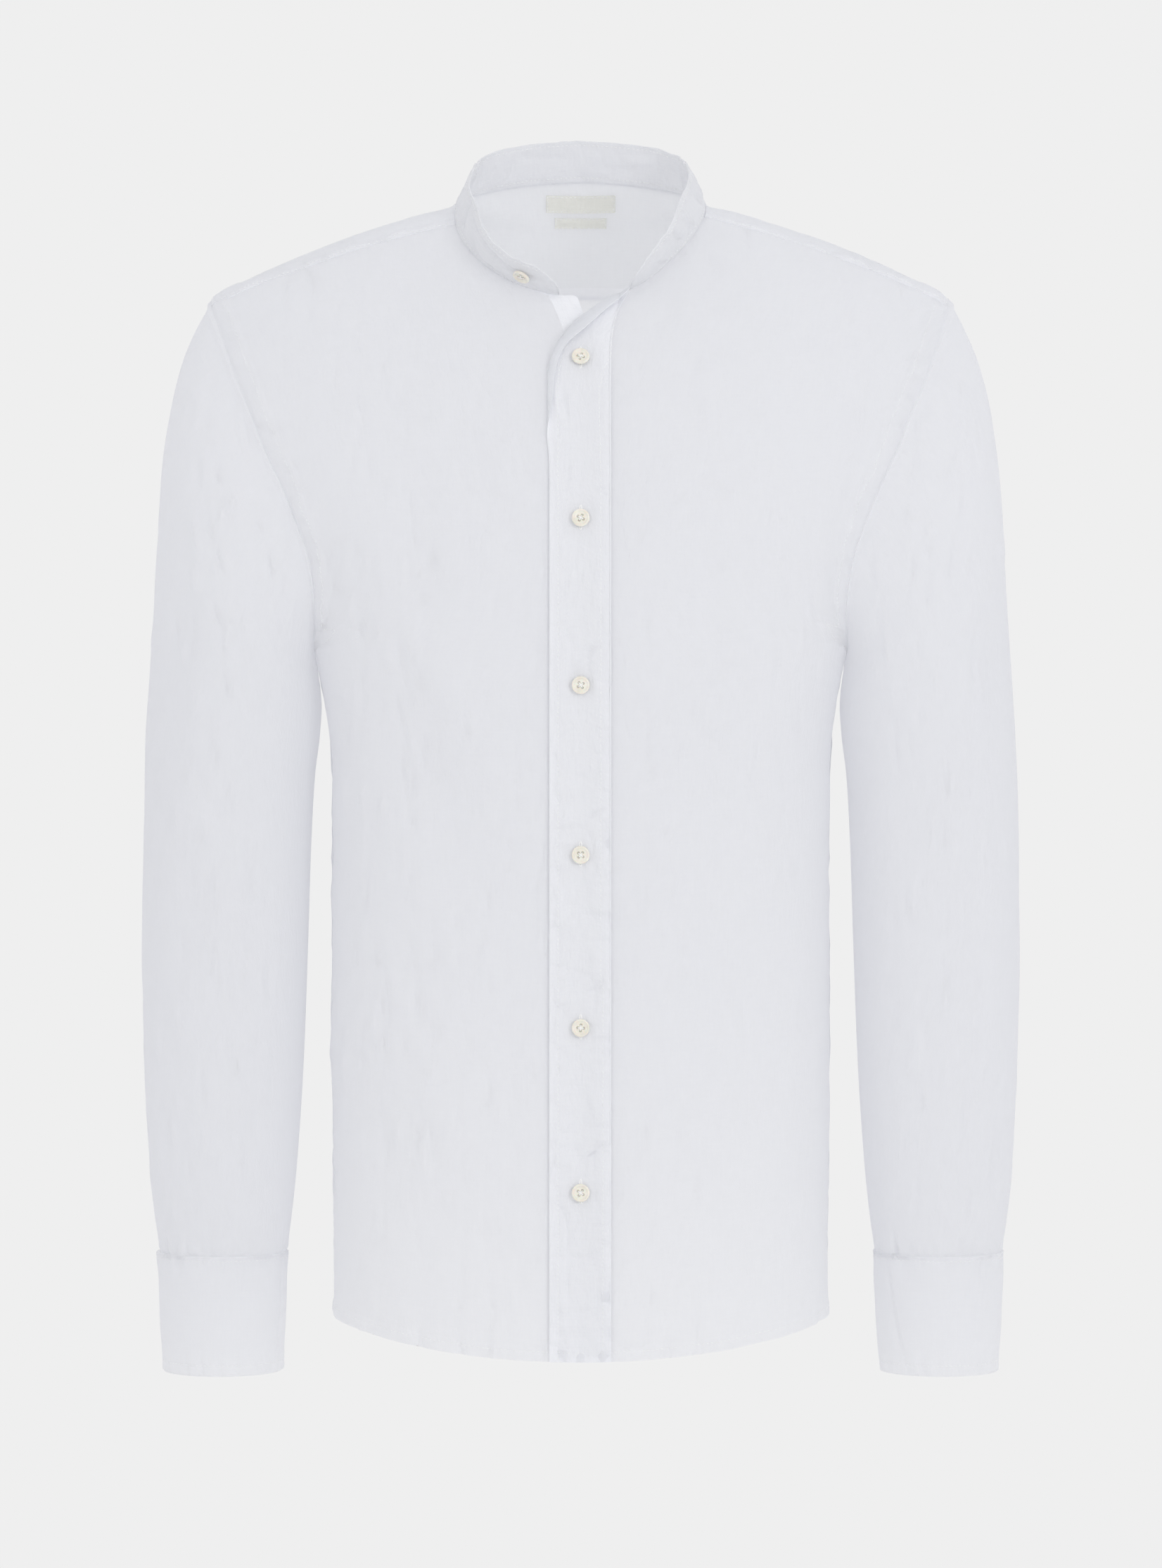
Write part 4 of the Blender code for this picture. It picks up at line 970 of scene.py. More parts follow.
# %% A front's points
def front_grid(side):
    """A front's points: its buttoned strip, joined to the rest of it out to the side seam and the armhole."""
    outer = joined(side_seam(side), armhole(np.linspace(math.pi, YOKE_FRONT_TURN, LINE_POINTS), side))
    start, strip_turn = neck_turn(FRONT_TOP_X[side], side), neck_turn(STRIP_TOP_X, side)
    strip_top = neckline(np.linspace(start, strip_turn, LINE_POINTS))
    rest_neck = neckline(np.linspace(strip_turn, side * YOKE_NECK_TURN, LINE_POINTS))
    lines = []
    for edge, end in ((front_edge, strip_top[0]), (strip_edge, strip_top[-1])):
        low = body_seen(edge(side, HEM_Z), HEM_Z, -1)
        z = np.linspace(hem_height(body_place(low, side)[0]), end[2], 4 * LINE_POINTS)
        lines.append(body_seen(edge(side, z), z, -1))
        lines[-1][-1] = end
    turns = [body_place(line[0], side)[0] for line in lines] + [math.pi / 2]
    strip_hem, hem = (np.linspace(*turns[k:k + 2], LINE_POINTS) for k in (0, 1))
    v = spaced(0.66, ROW_STEP)
    strip_u = spaced(2 * PLACKET_HALF, STRIP_STEP, dense=0.003)
    rest_u = np.concatenate(([0.0], spaced(0.20, FRONT_STEP)[3:]))
    strip_hem, hem = (body_point(turn, hem_height(turn), side) for turn in (strip_hem, hem))
    strip = body_panel(strip_hem, strip_top, *lines, strip_u, v, side)
    rest_top = joined(rest_neck, front_yoke_seam(side))
    rest = body_panel(hem, rest_top, lines[1], outer, rest_u, v, side)
    return np.concatenate((strip, rest[1:])), len(strip_u)


# %% Fronts
def make_front(side):
    """Makes a front, and gives its grid on the form and how many of its columns are the buttoned strip."""
    grid, strip_columns = front_grid(side)
    x, z = grid[..., 0], grid[..., 2]
    seam, hem = from_edge(grid, "right"), from_edge(grid, "bottom")
    edge_z = z[-1]
    above = np.arange(len(edge_z)) > np.argmax(edge_z >= UNDERARM_Z - 1e-6)
    fade_from, fade_to = ARMHOLE_FADE
    at_armhole = above * ease((edge_z - UNDERARM_Z - fade_from) / (fade_to - fade_from))
    bare = body_creases(grid)
    if side < 0:
        risen = 1 - ease((x - BENEATH_EDGE[0]) / (BENEATH_EDGE[1] - BENEATH_EDGE[0]))
        bare = bare - under_lap(grid) * (1 - risen * ease((BENEATH_Z[0] - z) / (BENEATH_Z[0] - BENEATH_Z[1])))
    height = bare + welt(hem, HEM_WIDTH) + stitch_groove(hem, HEM_STITCH)
    seam_end = FELLED_RIDGE * np.exp(-((seam - ARMHOLE_STITCH) / FELLED_WIDTH) ** 2)
    height += at_armhole * (welt(seam, ARMHOLE_WELT, ARMHOLE_WELT_HEIGHT) + seam_end)
    drawn_in = puckers(z, seam - 0.006, spacing=0.0075, reach=0.009, seed=41 + side, height=0.0018)
    height += at_armhole * drawn_in * ease(seam / 0.004)
    height += puckers(x, hem, spacing=0.007, reach=0.011, seed=45 + side, height=0.0014)
    outer, inner = body_layer(grid, height + CLOTH / 2), body_layer(grid, bare + CLOTH / 2 - LINEN_WALL)
    name = "front_" + HAND[side]
    faces = tucked(outer, inner, "top")
    below_arm = np.where(faces[0][-1, :, 2] < UNDERARM_Z, 0.0015, 0.0)[:, None]
    piece = sheet(name + "_linen", *tucked(*faces, "right", below_arm, 0.0002), LINEN)
    finish_sheet(piece, name)
    if side < 0:
        paint_face(piece, from_edge(faces[0], "left")[:, :-1] < UNDER_HEM, LINEN_DOUBLED, inside=False)
    add_row("hem_stitches", line_inside(outer, "bottom", HEM_STITCH))
    underarm = run_along(side_seam(side))[-1] / run_along(grid[-1])[-1]
    add_row("armhole_stitches", line_inside(outer, "right", ARMHOLE_STITCH, start=underarm + 0.02))
    return grid, strip_columns


make_front(-1)
left_grid, left_strip = make_front(1)

# %% [markdown]
# ## The placket
#
# The placket is a strip folded double on the left front's edge. It carries the buttonholes, is stitched down
# both sides, and its free edge turns outwards near the neck, so that a sliver of its underside shows. That
# underside is given a greyer linen, painted shade for the shadow it lies in. The profile across it is a path:
# along the strip, round a small roll, and back over itself.

# %% Sizes of the placket
ROLL_RADIUS, PLACKET_ROWS = 0.0009, 3
ROLL_START = 0.0028      # flap width from which the edge is turned right over
FLAP = table(
    "z width",
    (-0.195, 0.0), (-0.168, 0.0006), (-0.148, 0.0015), (-0.128, 0.0026), (-0.110, 0.0036), (-0.098, 0.0048),
    (-0.086, 0.0085), (-0.070, 0.0068), (-0.060, 0.0055),
)
FLAP_RISE = 0.35         # how steeply the turned-out edge stands up, against its width
PLACKET_STITCH = (0.0054, 0.0320)        # from the free edge
PLACKET_LAYER = DOUBLED * 0.34           # half of its wall
PLACKET_STITCH_TOP, PLACKET_GROOVE = -0.075, 0.00015
PUCKER_TOP_Z, PUCKER_FADE, ABOVE_PUCKER = -0.28, 0.12, 0.25      # the strip puckers less above that height
PLACKET_SHARES = ((0, 0.3, 22), (0.3, 0.93, 20), (0.93, 1, 9))      # from, to and columns, across the strip
PLACKET_CREASES = drawn(
    (-6, -290.5, 17, -277, 1.5, 1.8, -1.65), (-4, -296, 13, -286, 1, 2.2, 1.05),
    (-3, -389, 19, -378, 1.5, 1.8, -1.65), (0, -497, 16, -484, 1, 1.8, -1.5),
    (-5, -598, 15, -585, 1, 2, -1.65), (-1, -656, 16, -648, 1, 2, -1.2), (3, -188.5, 20, -187.5, 0, 1, -0.9),
    (-11, -118, -6, -150, 2, 2.2, -1.35), (-16, -120, -10, -152, 1.5, 2, 0.9),
    (-2, -165, -6, -200, 1, 2, 0.75), (12, -340, 16, -372, 1, 2, 0.9), (-14, -420, -10, -460, 1, 2.5, 0.9),
    (4, -545, 12, -575, 1, 2, 0.9),
)


# %% Rows across the strip
def across_rows(grid, distance):
    """Points of a grid at distances along its rows from the first column, carried straight on beyond it."""
    run = run_along(grid)
    before = [np.searchsorted(run[:, j], distance[:, j], side="right") for j in range(grid.shape[1])]
    low = np.clip(np.array(before).T - 1, 0, len(run) - 2)
    start, end = (np.take_along_axis(run, low + k, 0) for k in (0, 1))
    share = ((distance - start) / (end - start))[..., None]
    first, second = (np.take_along_axis(grid, (low + k)[..., None], 0) for k in (0, 1))
    return first * (1 - share) + second * share


def finer_rows(grid, times):
    """A grid with more rows, shared out straight between the ones it has."""
    rows = np.arange(grid.shape[1])
    at = np.linspace(0, rows[-1], times * rows[-1] + 1)
    low = np.minimum(at.astype(int), rows[-2])
    share = (at - low)[None, :, None]
    return grid[:, low] * (1 - share) + grid[:, low + 1] * share


# %% Placket
def make_placket():
    front = finer_rows(left_grid[:left_strip + 12], PLACKET_ROWS)
    z = front[0, :, 2]
    width = run_along(front[:left_strip])[-1] + PLACKET_LIP
    flap = np.where(z > FLAP["z"][0], smooth(FLAP["z"], FLAP["width"], z), 0.0)
    turned_out = ease(flap / ROLL_START)
    arc = math.pi * ROLL_RADIUS / 2
    start = arc * (1 - turned_out) - turned_out * (flap + arc)
    share = joined(*[np.linspace(*part) for part in PLACKET_SHARES])
    path = start + (width + ROLL_RADIUS - start) * share[:, None]
    bend = np.clip(path / ROLL_RADIUS, -math.pi / 2, math.pi / 2)
    beyond = np.abs(path) - np.abs(bend) * ROLL_RADIUS
    reach = ROLL_RADIUS * (1 - np.cos(bend)) + beyond - ROLL_RADIUS
    rise = ROLL_RADIUS * (1 - np.sin(bend)) + np.where(path < 0, beyond, 0) * FLAP_RISE
    strip = across_rows(front, reach - PLACKET_LIP)
    normal = body_normal(strip)
    near_edge = across_rows(front, np.linspace(0, 0.01, 5)[:, None] + 0 * z)
    way = unit(np.gradient(near_edge, axis=0))[2][None]
    facing = np.cos(bend)[..., None] * way + np.sin(bend)[..., None] * normal
    free, sewn = path - start, width + ROLL_RADIUS - path
    half = (PLACKET_LAYER * (1 - 0.55 * turned_out * (1 - ease(free / 0.0025))))[..., None]
    middle = strip + (body_creases(strip) + CLOTH / 2 + 0.0002 + PLACKET_LAYER + rise)[..., None] * normal
    x, z = strip[..., 0], strip[..., 2]
    dress = -0.0003 * (1 - ease(sewn / 0.0010)) - 0.0002 * (1 - ease(free / 0.0008))
    from_fold = free + start - arc
    for at in PLACKET_STITCH:
        dress = dress + stitch_groove(from_fold, at, PLACKET_GROOVE)
    low_half = ABOVE_PUCKER + (1 - ABOVE_PUCKER) * ease((PUCKER_TOP_Z - z) / PUCKER_FADE)
    flat = low_half * ease((free - 0.0020) / 0.0040) * ease(sewn / 0.0015)
    pulled = puckers(z, free, spacing=0.009, reach=0.011, seed=51, height=0.0012)
    dress = dress + flat * (pulled + puckers(z, sewn, spacing=0.008, reach=0.012, seed=53, height=0.0014))
    dress = dress + creases(PLACKET_CREASES, x, z) * ease((free - 0.0020) / 0.0030)
    dress = dress[..., None]
    outer, inner = middle + (half + dress) * facing, middle - (half - 0.4 * dress) * facing
    piece = sheet("placket_linen", outer, inner, LINEN_DOUBLED)
    # Painted shade: the placket's underside, seen on the turned-out strip, gets the greyer linen.
    paint_face(piece, np.ones_like(free[1:, 1:], bool), LINEN_PAINTED_SHADE, inside=True)
    finish_sheet(piece, "placket")
    for at in PLACKET_STITCH:
        place = np.abs(from_fold - at).argmin(axis=0)
        line = np.take_along_axis(outer, place[None, :, None], 0)[0][front[0, :, 2] < PLACKET_STITCH_TOP]
        add_row("placket_stitches", line)


make_placket()

# %% [markdown]
# ## The band collar
#
# The band is a straight strip folded double that stands on the neckline. Round the back it leans in and
# follows the neck; in front its round ends have fallen open. Its lean changes along the neckline, so the
# surface is a foot line, a direction up the band at each place, and a height.

# %% Sizes of the collar
COLLAR_HEIGHT, COLLAR_CORNER, COLLAR_END_HEIGHT = 0.0285, 0.025, 0.15
COLLAR_END = {-1: math.radians(-170.5), 1: math.radians(151.3)}
COLLAR_WALL, COLLAR_STITCH, COLLAR_UPRIGHT = 0.0015, 0.0022, 0.2
COLLAR_ENDS = math.radians(10.0)         # its columns lie closer over so much of each end
COLLAR_LEAN = table(
    "turn lean",
    (0, -36), (55, -33), (82, -30), (96, -22), (108, -2), (118, 18), (133, 45), (150, 60), (171, 66),
)
COLLAR_CREASES = table(
    "turn1 up1 turn2 up2 bow spread height",
    (-1.7, 0.002, -1.78, 0.027, 0.02, 0.028, 0.00208), (-1.95, 0.004, -1.88, 0.026, 0.02, 0.026, -0.00224),
    (-2.05, 0.019, -2.78, 0.013, 0, 0.0022, -0.00352), (-2.2, 0.009, -2.6, 0.006, 0, 0.002, 0.0016),
    (-1.52, 0.003, -1.6, 0.026, 0.02, 0.03, -0.00288), (-1.35, 0.006, -1.3, 0.027, 0.01, 0.022, -0.00192),
    (-1.05, 0.004, -1.12, 0.024, 0.02, 0.03, 0.00128), (-0.72, 0.006, -0.66, 0.025, 0.02, 0.035, -0.00128),
    (-0.55, 0.02, -0.1, 0.016, 0, 0.003, 0.00096), (0.05, 0.004, 0.12, 0.022, 0.02, 0.04, -0.00096),
    (0.4, 0.016, 0.9, 0.021, 0, 0.0028, -0.00112), (0.78, 0.003, 0.7, 0.022, 0.02, 0.035, 0.00128),
    (1.05, 0.005, 1.12, 0.026, 0.02, 0.026, -0.00192), (1.2, 0.004, 1.28, 0.027, 0.01, 0.024, 0.00176),
    (1.42, 0.004, 1.5, 0.026, 0.01, 0.022, -0.00208), (1.58, 0.003, 1.66, 0.024, 0.02, 0.022, 0.0016),
    (1.75, 0.006, 1.84, 0.027, 0.02, 0.024, -0.00224), (1.98, 0.004, 2.06, 0.025, 0.02, 0.024, 0.00192),
    (2.12, 0.003, 2.24, 0.022, 0.02, 0.024, -0.00192), (2.3, 0.003, 2.4, 0.016, 0.02, 0.026, 0.0016),
)


# %% The band's directions
def softened(columns, passes=60):
    """Columns of directions averaged with their neighbours again and again, so that no corner is left."""
    for _ in range(passes):
        inner = (columns[:-2] + 2 * columns[1:-1] + columns[2:]) / 4
        columns = np.concatenate((columns[:1], inner, columns[-1:]))
    return columns


def collar_frame(turn):
    """The band's foot, the way up its face and the way out of it, at angles from the centre back."""
    fine = np.radians(np.linspace(-175, 175, 701))
    line = neckline(fine)
    line = line - under_lap(line)[:, None] * body_normal(line)
    along = unit(softened(unit(np.gradient(line, axis=0))))
    out_of_cloth = unit(np.cross(along, body_normal(line)))
    level_out = unit(as_points(-along[:, 1], along[:, 0], 0.0))
    lean = np.radians(smooth(COLLAR_LEAN["turn"], COLLAR_LEAN["lean"], np.degrees(np.abs(fine))))[:, None]
    up = np.cos(lean) * unit(np.cross(along, level_out)) + np.sin(lean) * level_out
    bend = np.linalg.norm(np.cross(out_of_cloth, up), axis=-1, keepdims=True)
    foot = line + out_of_cloth * (0.0003 + DOUBLED / 2 * bend)
    up = unit(softened(up))
    return [straight(turn, fine, part) for part in (foot, up, unit(np.cross(up, along)))]


# %% The band's height and creases
def collar_height(turn):
    """The band's height: full, and falling in a quarter of an oval over its last stretch at both ends."""
    run = run_along(neckline(turn))
    to_end = np.minimum(run, run[-1] - run)
    share = np.clip(1 - to_end / COLLAR_CORNER, 0, 1)
    return COLLAR_HEIGHT * (COLLAR_END_HEIGHT + (1 - COLLAR_END_HEIGHT) * np.sqrt(1 - share ** 2))


def collar_creases(angle, rise):
    """Creases up the band and along it, drawn by angle round the neck and height up the band."""
    height = np.zeros(angle.shape)
    for t1, u1, t2, u2, bow, spread, depth in zip(*COLLAR_CREASES.values()):
        upright = abs(t2 - t1) < COLLAR_UPRIGHT
        along = (rise - u1) / (u2 - u1) if upright else (angle - t1) / (t2 - t1)
        middle = t1 + (t2 - t1) * along if upright else u1 + (u2 - u1) * along
        beside = (angle if upright else rise) - middle - 4 * bow * along * (1 - along)
        height += depth * np.exp(-(beside / spread) ** 2) * ease(3 * along + 0.4) * ease(3.4 - 3 * along)
    return height


# %% Collar
def make_collar():
    first, last = COLLAR_END[-1], COLLAR_END[1]
    turn = joined(first + np.linspace(0, COLLAR_ENDS, 30),
                  np.linspace(first + COLLAR_ENDS, last - COLLAR_ENDS, 300),
                  last - np.linspace(COLLAR_ENDS, 0, 30))
    foot, up, out = (part[:, None] for part in collar_frame(turn))
    share = spaced(1.0, 0.05, dense=0.12, dense_step=0.03)
    height = collar_height(turn)[:, None]
    rise = height * share
    run = run_along(neckline(turn))[:, None] + 0 * share
    bend = collar_creases(turn[:, None] + 0 * share, rise)
    wave = 0.0008 * crumple(run, rise * 0.6, 0.014, 61) + 0.0005 * crumple(run, rise, 0.005, 63)
    sewn_in = puckers(run, rise, spacing=0.0065, reach=0.007, seed=65, height=0.0008) * ease(rise / 0.002)
    middle = foot + up * rise[..., None] + out * ((bend + wave) * ease(share / 0.3) + sewn_in)[..., None]
    edge = np.minimum(rise, height - rise)
    half = COLLAR_WALL / 2 * (0.45 + 0.55 * ease((height - rise) / 0.0012))
    half = (half + stitch_groove(edge, COLLAR_STITCH, 0.0002))[..., None]
    faces = tucked(middle + out * half, middle - out * half, "bottom", 0.0014, 0.0)
    # The band's linen is interlined, and greyer than the rest as painted shade.
    finish_sheet(sheet("collar_linen", *faces, LINEN_STIFFENED_SHADED), "collar")
    for k in (1, -1):
        face = middle + k * out * half
        for from_seam in (rise, height - rise):
            place = np.abs(from_seam - COLLAR_STITCH).argmin(axis=1)
            line = np.take_along_axis(face, place[:, None, None], 1)[:, 0]
            seam_rows.setdefault("collar_stitches", []).append((line[24:-24], (k * out[:, 0])[24:-24]))


make_collar()

# %% [markdown]
# ## Sleeves
#
# A sleeve is one piece rolled into a tube. It starts on the armhole's own line, eases into ovals that hang
# beside the body, and narrows to the cuff. It is eased into its cuff with small gathers and one pleat.

# %% Sizes of the sleeves
SLEEVE_LENGTH, SEAM_REACH = 0.60, 0.24
SLEEVE_FLAT = 0.060      # metres across its flat cut for each radian round it, where its folds are drawn
FOLD_START, FOLD_END, BODY_SIDE, FOLDED_BACK = 0.12, 0.06, (-0.9, -0.4), (95.0, 170.0)
SLEEVE_COLUMNS, SEAM_GAP = (116, 62), 0.0003       # columns over the front half and over the back half
SLEEVE = table(
    "down outer_x outer_z inner_x inner_z middle_y half_depth roundness",
    (0.00, 0.2315, -0.0610, 0.1690, -0.2850, 0.000, 0.0690, 2.2),
    (0.03, 0.2405, -0.0770, 0.1686, -0.2885, 0.000, 0.0700, 2.2),
    (0.07, 0.2500, -0.0990, 0.1679, -0.2925, 0.000, 0.0715, 2.2),
    (0.12, 0.2575, -0.1280, 0.1672, -0.2970, 0.000, 0.0725, 2.2),
    (0.18, 0.2630, -0.1650, 0.1664, -0.3020, 0.001, 0.0730, 2.2),
    (0.25, 0.2665, -0.2130, 0.1655, -0.3090, 0.001, 0.0730, 2.2),
    (0.33, 0.2694, -0.2620, 0.1650, -0.3190, 0.002, 0.0715, 2.2),
    (0.41, 0.2728, -0.3110, 0.1662, -0.3370, 0.002, 0.0695, 2.2),
    (0.48, 0.2746, -0.3550, 0.1692, -0.3620, 0.002, 0.0670, 2.2),
    (0.56, 0.2756, -0.4050, 0.1715, -0.4050, 0.001, 0.0640, 2.2),
    (0.66, 0.2764, -0.4670, 0.1733, -0.4670, -0.001, 0.0600, 2.2),
    (0.78, 0.2746, -0.5410, 0.1758, -0.5410, -0.005, 0.0550, 2.2),
    (0.89, 0.2704, -0.6090, 0.1800, -0.6090, -0.009, 0.0480, 2.2),
    (0.95, 0.2664, -0.6465, 0.1840, -0.6465, -0.011, 0.0420, 2.2),
    (1.00, 0.2639, -0.6605, 0.1861, -0.6605, -0.012, 0.0385, 2.2),
)

# %% The sleeves' creases
SLEEVE_FOLDS = {
    -1: drawn(
        (50, 90, 85, 300, 0, 14, -1.68), (95, 190, 60, 420, 0, 16, 1.82), (130, 300, 85, 500, 0, 16, -1.68),
        (30, 420, 50, 580, 0, 16, 1.54), (-100, 150, -60, 360, 0, 18, 1.96),
        (-60, 380, -95, 540, 0, 18, -1.68),
    ),
    1: drawn(
        (60, 120, 95, 290, 0, 14, 1.54), (125, 240, 90, 420, 0, 16, -1.68), (50, 340, 60, 540, 0, 18, 1.54),
        (110, 440, 95, 590, 0, 14, -1.4), (-95, 140, -70, 330, 0, 18, 1.96),
        (-55, 360, -90, 520, 0, 18, -1.68),
    ),
}
SLEEVE_CREASES = {
    -1: drawn(
        (-224, -165, -220, -189, 2, 1.6, -1.54), (-220, -189, -224, -215, -1, 1.5, 1.54),
        (-224, -213, -218, -244, 2, 1.7, -1.76), (-218, -243, -220, -293, -2, 1.6, 1.54),
        (-220, -291, -216, -321, 1, 1.8, -1.54), (-200, -195, -195, -218, 1, 1.6, 1.54),
        (-195, -217, -191, -249, -2, 1.6, -1.76), (-191, -248, -183, -289, 2, 1.8, 1.54),
        (-228, -196, -223, -224, 1, 1.5, 1.32), (-172, -202, -170, -230, 1, 1.8, -1.32),
        (-170, -230, -167, -259, -1, 1.8, 1.54), (-228, -248, -217, -278, 2, 1.6, -1.54),
        (-215, -256, -212, -270, 1, 1.4, 1.32), (-254, -256, -250, -287, 1, 1.8, -1.32),
        (-248, -356, -241, -366, 1, 1.4, -1.32), (-244, -222, -250, -369, 6, 11, -3.08),
        (-250, -369, -240, -512, -4, 12, -2.64), (-206, -395, -201, -447, 2, 2.2, -1.32),
        (-228, -417, -224, -460, -2, 2.2, 1.32), (-191, -460, -193, -508, 2, 2.2, -1.32),
        (-215, -499, -208, -560, 3, 3, 1.54), (-235, -534, -232, -586, 1, 2.2, -1.32),
        (-208, -91, -205, -126, 1, 2, -1.1), (-235, -109, -239, -148, -2, 2.4, 1.32),
    ),
    1: drawn(
        (215, -230, 219, -276, 3, 4, -1.98), (219, -276, 215, -321, -3, 4, 1.76),
        (232, -213, 228, -248, 2, 1.8, -1.54), (202, -187, 205, -217, 1, 1.6, 1.32),
        (205, -217, 201, -252, -2, 1.6, -1.54), (189, -265, 192, -300, 1, 1.8, 1.54),
        (247, -265, 244, -308, 2, 2, -1.32), (249, -352, 253, -391, -2, 2, 1.32),
        (225, -374, 228, -421, 2, 2.4, -1.54), (206, -404, 202, -460, -3, 2.6, 1.54),
        (236, -456, 232, -508, 2, 2.4, -1.32), (210, -504, 215, -560, 3, 3, 1.54),
        (241, -543, 237, -595, 1, 2.2, -1.32), (195, -334, 198, -369, 1, 1.8, -1.32),
        (243, -126, 246, -161, 1, 2, 1.1), (206, -126, 210, -161, 1, 1.8, -1.1),
        (256, -213, 251, -360, -5, 12, -2.64),
    ),
}
SLEEVE_WIDE, SLEEVE_TALL = (0.160, 0.275), (-0.66, -0.10)
SLEEVE_STREWN = scattered(300, 15, SLEEVE_WIDE, SLEEVE_TALL, 0.0011)
SLEEVE_STREWN_BACK = scattered(90, 16, SLEEVE_WIDE, SLEEVE_TALL, 0.0009, BACK_LENGTHS)
PLEAT_TURN = {-1: 0.62, 1: 2.35}         # where the pleat runs into the cuff, round the sleeve
PLEAT_DEPTH, PLEAT_REACH, PLEAT_SPREAD = 0.0028, 0.022, 0.045
GATHER_DEPTH, GATHER_REACH = 0.0009, 0.016
RIDGE_HEIGHT, RIDGE_PLACE, RIDGE_WIDTH = 0.0007, 0.0035, 0.0020    # the cloth heaped at the armhole


# %% The sleeves' rings
def sleeve_start(turn, side):
    """The first ring and the way its wall faces: butted to the body above, folded back under the arm."""
    fine = np.radians(np.arange(-180.0, 541.0))
    line = armhole(fine, side)
    normal = body_normal(line)
    off_edge = side * unit(np.cross(normal, unit(np.gradient(line, axis=0))))
    butted, folded = FOLDED_BACK
    tilt = (ease((np.degrees(np.arccos(np.cos(fine))) - butted) / (folded - butted)) * math.pi / 2)[:, None]
    reach = SEAM_GAP / 2 + (CLOTH + SEAM_GAP / 2) * np.sin(tilt)
    ring = line + reach * (np.cos(tilt) * off_edge + np.sin(tilt) * normal)
    facing = np.cos(2 * tilt) * normal - np.sin(2 * tilt) * off_edge
    return [straight(turn, fine, part) for part in (ring, facing)]


def sleeve_ring(turn, down, side):
    """The sleeve's plain rings: rounded ovals whose long axis runs from the outer line to the body side."""
    outer_x, outer_z, inner_x, inner_z, middle_y, half_depth, roundness = read(SLEEVE, down)
    long_way = power(np.cos(turn), 2 / roundness)
    x = (outer_x + inner_x) / 2 + (outer_x - inner_x) / 2 * long_way
    z = (outer_z + inner_z) / 2 + (outer_z - inner_z) / 2 * long_way
    y = middle_y - half_depth * power(np.sin(turn), 2 / roundness)
    return as_points(side * x, y, z)


# %% The sleeves' random hills and gathers
def round_hills(turn, down, knots, size, seed):
    """Random hills that close up round a tube: so many knots round it, and a size down it."""
    return hills(turn / (2 * math.pi) * knots, down / size, seed, knots)


def sleeve_gathers(turn, cuff_end, side):
    """Where the sleeve is eased into its cuff: small uneven gathers and one pleat, dying away from it."""
    ring = 0 * cuff_end
    ripple = round_hills(turn, ring, 46, 1.0, 75 + side) + 0.7 * round_hills(turn, ring, 89, 1.0, 77)
    gathers = GATHER_DEPTH * ripple * np.exp(-(cuff_end / GATHER_REACH) ** 2)
    gathers = gathers * ease((cuff_end - 0.0005) / 0.0045)
    pleat = np.abs((turn - PLEAT_TURN[side] + math.pi) % (2 * math.pi) - math.pi)
    bell = np.exp(-(pleat / PLEAT_SPREAD) ** 2) * np.exp(-(cuff_end / PLEAT_REACH) ** 2)
    return gathers - PLEAT_DEPTH * bell * ease(cuff_end / 0.001)


# %% Sleeves
def make_sleeve(side):
    turn = np.concatenate([math.pi * (half + np.arange(columns) / columns)
                           for half, columns in enumerate(SLEEVE_COLUMNS)])[:, None]
    down = spaced(SLEEVE_LENGTH, 0.0042, dense=0.024, dense_step=0.0018)[None, :]
    ring, facing = sleeve_start(turn[:, 0], side)
    start = ring[:, None] - sleeve_ring(turn, 0 * down[:, :1], side)
    middle = sleeve_ring(turn, down, side)
    middle = middle + start * (np.clip(1 - down / SEAM_REACH, 0, 1) ** 2)[..., None]
    middle[:, -1] += SEAM_GAP / 2 * np.array((0, 0, 1))
    armhole_end, cuff_end = down * SLEEVE_LENGTH, (1 - down) * SLEEVE_LENGTH
    across = np.where(turn > math.pi, turn - 2 * math.pi, turn) * SLEEVE_FLAT
    clear = ease((np.cos(turn) - BODY_SIDE[0]) / (BODY_SIDE[1] - BODY_SIDE[0]))
    large = creases(SLEEVE_FOLDS[side], across, armhole_end)
    large = large * ease(down / FOLD_START) * ease((1 - down) / FOLD_END)
    x, z = middle[..., 0], middle[..., 2]
    ahead = creases(SLEEVE_CREASES[side], x, z) + creases(SLEEVE_STREWN, np.abs(x), z + 0.01 * side)
    behind = creases(SLEEVE_STREWN_BACK, np.abs(x), z - 0.02 * side)
    small = np.where(turn < math.pi, ahead, behind) * ease(4 * np.abs(np.sin(turn)))
    uneven = BROAD_HEIGHT * round_hills(turn, armhole_end, 12, BROAD_SIZE, 71 + side)
    uneven = uneven + FINE_HEIGHT * round_hills(turn, armhole_end, 38, FINE_SIZE, 73 + side)
    rise = (large + small + uneven) * clear + sleeve_gathers(turn, cuff_end, side)
    rise = rise * ease(down / 0.02)
    around = np.roll(middle, -1, axis=0) - np.roll(middle, 1, axis=0)
    normal = side * unit(np.cross(around, np.gradient(middle, axis=1)))
    blend = ease(down / 0.006)[..., None]
    normal = unit(facing[:, None] * (1 - blend) + normal * blend)
    ridge = RIDGE_HEIGHT + RIDGE_HEIGHT * round_hills(turn, 0 * down, 14, 1.0, 79)
    ridge = ridge * np.exp(-((armhole_end - RIDGE_PLACE) / RIDGE_WIDTH) ** 2)
    seam = 0.0006 * (1 - ease(armhole_end / 0.010)) + ridge
    seam = seam + 0.0003 * (1 - ease(cuff_end / 0.0030))
    outer = middle + normal * (rise + seam + CLOTH / 2)[..., None]
    inner = middle + normal * (rise + CLOTH / 2 - LINEN_WALL)[..., None]
    name = "sleeve_" + HAND[side]
    faces = tucked(*tucked(outer, inner, "bottom", 0.0010, 0.00008), "top", 0.0025, 0.0003)
    finish_sheet(sheet(name + "_linen", *faces, LINEN, closed=True), name)


for side in (-1, 1):
    make_sleeve(side)

